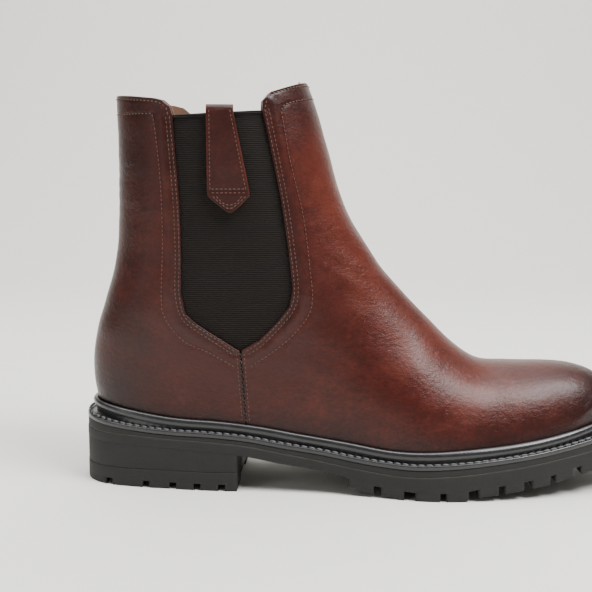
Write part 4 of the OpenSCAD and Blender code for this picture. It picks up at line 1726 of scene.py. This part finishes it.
    def lug(self, share: float, by: float, span: tuple[float, float],
            field_of: tuple[float, float], low: Callable, high: Callable) -> tuple:
        """One tread block.

        Args:
            share: share of the edge width at the sole's edge.
            by: extra distance there.
            span: where it starts and ends along the sole.
            field_of: its Y range; an infinite end follows the sole's edge.
            low: underside height from x.
            high: top height from x.

        Returns:
            Points and faces.
        """
        lateral, medial = self.lines(share, by, span[0], span[1], 9)
        x = lateral[:, 0]
        first = lateral if math.isinf(field_of[0]) else np.stack(
            [x, np.maximum(field_of[0], lateral[:, 1] * 0.4)], 1)
        second = medial if math.isinf(field_of[1]) else np.stack(
            [x, np.minimum(field_of[1], medial[:, 1] * 0.4)], 1)
        if math.isinf(field_of[0]) and not math.isinf(field_of[1]):
            second = np.stack([x, np.maximum(field_of[1], lateral[:, 1] * 0.48)], 1)
        if math.isinf(field_of[1]) and not math.isinf(field_of[0]):
            first = np.stack([x, np.minimum(field_of[0], medial[:, 1] * 0.48)], 1)
        return self.prism(first, second, low, high, 0.45)

    def build_midsole(self) -> None:
        """Midsole, and the light line in the joint under it."""
        lateral, medial = self.lines(1, -0.15, -200, 200)
        mesh = self.prism(lateral, medial, lambda x: self.joint_z(x) + 0.15,
                          lambda x: self.welt_z(x) - self.welt_t - 0.05, 0.35)
        piece = make_piece("midsole_layer", *mesh, self.rubber)
        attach(piece, "boot")
        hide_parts("midsole")
        lateral, medial = self.lines(1, -0.32, -200, 200)
        mesh = self.prism(lateral, medial, lambda x: self.joint_z(x) - 0.3,
                          lambda x: self.joint_z(x) + 0.5, 0.1)
        piece = make_piece("joint_line", *mesh, self.line)
        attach(piece, "boot")

    def build_outsole(self) -> None:
        """Outsole slab with its forepart lugs."""
        lateral, medial = self.lines(1, 0.1, -200, 200)

        def root(x: np.ndarray) -> np.ndarray:
            """Underside of the slab, at the foot of the lugs."""
            return np.where(x < self.lugs_back, self.waist_z(x),
                            self.ground_z(np.maximum(x, self.lugs_back)) + self.lug_depth)

        parts = [self.prism(lateral, medial, root, lambda x: self.joint_z(x) - 0.1, 0.4)]
        edges = [self.lugs_back] + [g for gap in self.lug_gaps
                                    for g in (gap[0] - gap[1] / 2, gap[0] + gap[1] / 2)] + [200.0]
        for start, end in zip(edges[0::2], edges[1::2]):
            for field_of in ((-math.inf, -18.0), (18.0, math.inf)):
                parts.append(self.lug(1, 0.1, (start, end), field_of, self.ground_z,
                                      lambda x: self.ground_z(x) + self.lug_depth + 0.8))
        middles = [(a[0] + b[0]) / 2 for a, b in zip(self.lug_gaps[:-2], self.lug_gaps[1:-1])]
        for a, b in zip([3.0] + middles, middles + [110.0]):
            parts.append(self.lug(1, 0.1, (a + 1.7, b - 1.7), (-14.5, 14.5), self.ground_z,
                                  lambda x: self.ground_z(x) + self.lug_depth + 0.8))
        piece = make_piece("lugged_outsole", *joined(parts), self.rubber)
        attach(piece, "boot")
        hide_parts("outsole")

    def build_heel(self) -> None:
        """Heel block and its lugged top piece."""
        lateral, medial = self.lines(1, 0.0, -200, self.heel_front, 70)
        lateral[0, 1] = medial[0, 1] = (lateral[0, 1] + medial[0, 1]) / 2
        block = self.prism(lateral, medial, lambda x: 0 * x + self.top_piece_h + 0.05,
                           lambda x: self.waist_z(x) + 0.3, 0.3)
        piece = make_piece("heel_stack", *block, self.rubber)
        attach(piece, "boot")
        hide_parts("heel_block")
        lateral, medial = self.lines(1, 0.15, -200, self.heel_front, 70)
        lateral[0, 1] = medial[0, 1] = (lateral[0, 1] + medial[0, 1]) / 2
        parts = [self.prism(lateral, medial, lambda x: 0 * x + self.heel_lug,
                            lambda x: 0 * x + self.top_piece_h - 0.05, 0.35)]
        half = self.heel_gap_w / 2
        edges = [-200.0] + [g for x in self.heel_gaps for g in (x - half, x + half)]
        edges.append(self.heel_front)
        for start, end in zip(edges[0::2], edges[1::2]):
            for field_of in ((-math.inf, -15.0), (15.0, math.inf)):
                parts.append(self.lug(1, 0.15, (start, end), field_of, lambda x: 0 * x,
                                      lambda x: 0 * x + self.heel_lug + 0.8))
        inner_edges = [-130.0, -119.0, -104.0, -90.5, -72.0]
        for a, b in zip(inner_edges[:-1], inner_edges[1:]):
            parts.append(self.lug(1, 0.15, (a + half, b - half), (-12.0, 12.0), lambda x: 0 * x,
                                  lambda x: 0 * x + self.heel_lug + 0.8))
        piece = make_piece("heel_tread", *joined(parts), self.rubber)
        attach(piece, "boot")
        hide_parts("heel_top_piece")


@dataclass
class Footbed:
    """The leather sock over its foam, slightly crowned."""

    leather: Any
    sole: Sole
    base: float = 2.84
    thick: float = 3.8
    inset: float = -5.3

    def build(self) -> None:
        """Makes the padded sock."""
        lateral, medial = self.sole.lines(0, self.inset, -200, 132.5, 120)
        shares = np.concatenate([[0, 0.006, 0.02, 0.05], np.linspace(0.1, 0.9, 21),
                                 [0.95, 0.98, 0.994, 1]])
        across = shares[None, :, None]
        grid = lateral[:, None] * (1 - across) + medial[:, None] * across
        x, y = grid[..., 0], grid[..., 1]
        width = np.linalg.norm(lateral - medial, axis=1)[:, None]
        edge = np.minimum(shares, 1 - shares)[None, :] * width
        ends = np.minimum(x - lateral[0, 0], lateral[-1, 0] - x)
        edge = np.minimum(edge, ends)
        crown = self.thick * (1 - np.exp(-edge / 1.4)) - 0.5 * (1 - np.exp(-edge / 18))
        seat = FORM.feather_z(x) + self.base
        top = np.stack([x, y, seat + 0.1 + crown], -1)
        low = np.stack([x, y, seat + 0 * x], -1)
        points, faces = sheet_mesh(top, low, True)
        piece = make_piece("sock_footbed", points, faces, self.leather)
        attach(piece, "boot")
        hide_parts("footbed")


# ------------------------------------------------------------------ studio


@dataclass
class StudioSet:
    """Floor, light and camera."""

    camera_x: float = -0.010
    camera_y: float = -0.5495
    camera_z: float = 0.1637
    pitch_deg: float = 6.8
    yaw_deg: float = 2.5
    lens: float = 62.3

    def build_floor(self) -> None:
        """A seamless floor that curves up into a backdrop."""
        profile = [(-2.5, 0.0), (0.9, 0.0)]
        profile += [(0.9 + 0.6 * math.sin(a), 0.6 - 0.6 * math.cos(a))
                    for a in np.linspace(0.1, math.pi / 2, 14)]
        profile.append((1.5, 3.0))
        points = [(x, y, z) for y, z in profile for x in (-3.5, 3.5)]
        faces = [(2 * i, 2 * i + 1, 2 * i + 3, 2 * i + 2) for i in range(len(profile) - 1)]
        floor = make_piece("studio_floor", np.array(points) / MM, faces, Studio().make())

    @staticmethod
    def lamp(name: str, place: tuple, aim: tuple, size: tuple, watts: float,
             tint: tuple = (1, 1, 1)) -> None:
        """One soft rectangular lamp.

        Args:
            name: its name.
            place: where it hangs.
            aim: what it points at.
            size: its width and height.
            watts: its power.
            tint: its colour.
        """
        data = bpy.data.lights.new(name, "AREA")
        data.shape = "RECTANGLE"
        data.size, data.size_y = size
        data.energy = watts
        data.color = tint
        lamp = bpy.data.objects.new(name, data)
        lamp.location = place
        lamp.rotation_euler = (Vector(aim) - Vector(place)).to_track_quat("-Z", "Y").to_euler()
        bpy.context.scene.collection.objects.link(lamp)

    def build_light(self) -> None:
        """Large soft lamps over and in front of the boot, and a pale surround."""
        aim = (0.0, 0.0, 0.08)
        self.lamp("key", (0.62, -0.42, 1.1), aim, (0.55, 0.55), 22.0)
        self.lamp("overhead", (-0.3, 0.3, 1.6), aim, (2.2, 1.8), 38.0)
        self.lamp("front_left", (-1.2, -1.1, 0.7), aim, (0.5, 0.9), 3.5)
        self.lamp("backdrop", (0.0, -0.2, 1.9), (0.0, 1.4, 0.5), (2.4, 0.8), 46.0)
        world = bpy.data.worlds.new("surround")
        world.use_nodes = True
        world.node_tree.nodes["Background"].inputs[0].default_value = (1.0, 0.995, 0.98, 1)
        world.node_tree.nodes["Background"].inputs[1].default_value = 0.2
        bpy.context.scene.world = world

    def build_camera(self) -> None:
        """The camera at the side, looking slightly down."""
        data = bpy.data.cameras.new("side_view")
        data.lens = self.lens
        data.sensor_width = 36.0
        camera = bpy.data.objects.new("side_view", data)
        camera.location = (self.camera_x, self.camera_y, self.camera_z)
        camera.rotation_euler = (math.radians(90 - self.pitch_deg), 0, math.radians(self.yaw_deg))
        bpy.context.scene.collection.objects.link(camera)
        bpy.context.scene.camera = camera


# ------------------------------------------------------------------ carried-over nodes


def dress_inner_nodes() -> None:
    """Gives the hidden pieces their finishes."""
    board = Inner("fibre_board", shade(168, 160, 148), shade(140, 132, 120), 500.0).make()
    tape = Inner("cotton_tape", shade(205, 198, 180), shade(176, 168, 150), 1200.0).make()
    insole = Inner("bare_leather", shade(186, 148, 108), shade(158, 120, 84), 300.0).make()
    cork = Inner("ground_cork", shade(178, 132, 86), shade(92, 58, 34), 260.0).make()
    foam = Inner("latex", shade(222, 212, 172), shade(206, 194, 150), 700.0).make()
    steel = Inner("blued_steel", shade(150, 154, 160), shade(96, 100, 110), 90.0, 0.35, 1.0).make()
    brass = Inner("nail_brass", shade(196, 164, 96), shade(150, 120, 66), 600.0, 0.35, 1.0).make()
    wanted = {
        "heel_counter": board, "toe_puff": board, "side_tape_lateral": tape,
        "side_tape_medial": tape, "collar_tape_front": tape, "collar_tape_back": tape,
        "insole_board": insole, "insole_rib": tape, "heel_pad": foam, "shank": steel,
        "cork_filler": cork, "heel_nails": brass,
    }
    for node, finish in wanted.items():
        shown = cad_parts[node]
        if shown.data.materials:
            for place in range(len(shown.data.materials)):
                shown.data.materials[place] = finish
        else:
            shown.data.materials.append(finish)
        log.info("%s dressed in %s", node, finish.name)


def main() -> None:
    """Builds every sub-assembly in order."""
    logging.basicConfig(level=logging.INFO, format="%(message)s")
    studio = StudioSet()
    studio.build_camera()
    studio.build_floor()
    studio.build_light()
    leather = BurnishedLeather().make()
    strap = BurnishedLeather("strap_leather", roughness=0.42, coat=0.1).make()
    lining = PlainLeather("lining_leather", shade(128, 94, 70), shade(104, 74, 54)).make()
    sock = PlainLeather("sock_leather", shade(92, 64, 46), shade(70, 46, 34)).make()
    thread = Thread("upper_thread", shade(112, 70, 54), shade(58, 32, 25)).make()
    dark_thread = Thread("seam_thread", shade(58, 40, 34), shade(26, 18, 16)).make()
    welt_thread = Thread("welt_thread_grey", shade(92, 91, 94), shade(46, 45, 47)).make()
    upper = Upper(leather, strap, lining, Elastic().make(), thread, dark_thread)
    upper.build_leather()
    upper.build_lining()
    for side in Side:
        upper.build_gore(side)
        PullTab(side, strap, thread).build()
    upper.build_stitching()
    rubber = Rubber("sole_rubber", shade(17, 16, 15), shade(32, 30, 28), 0.72).make()
    welt_rubber = Rubber("welt_rubber", shade(22, 22, 24), shade(44, 43, 46), 0.34, 0.25).make()
    line = Rubber("joint_line", shade(84, 78, 72), shade(104, 97, 90), 0.7).make()
    sole = Sole(rubber, welt_rubber, line, welt_thread)
    sole.build_welt()
    sole.build_midsole()
    sole.build_outsole()
    sole.build_heel()
    Footbed(sock, sole).build()
    dress_inner_nodes()


if __name__ == "__main__":
    main()
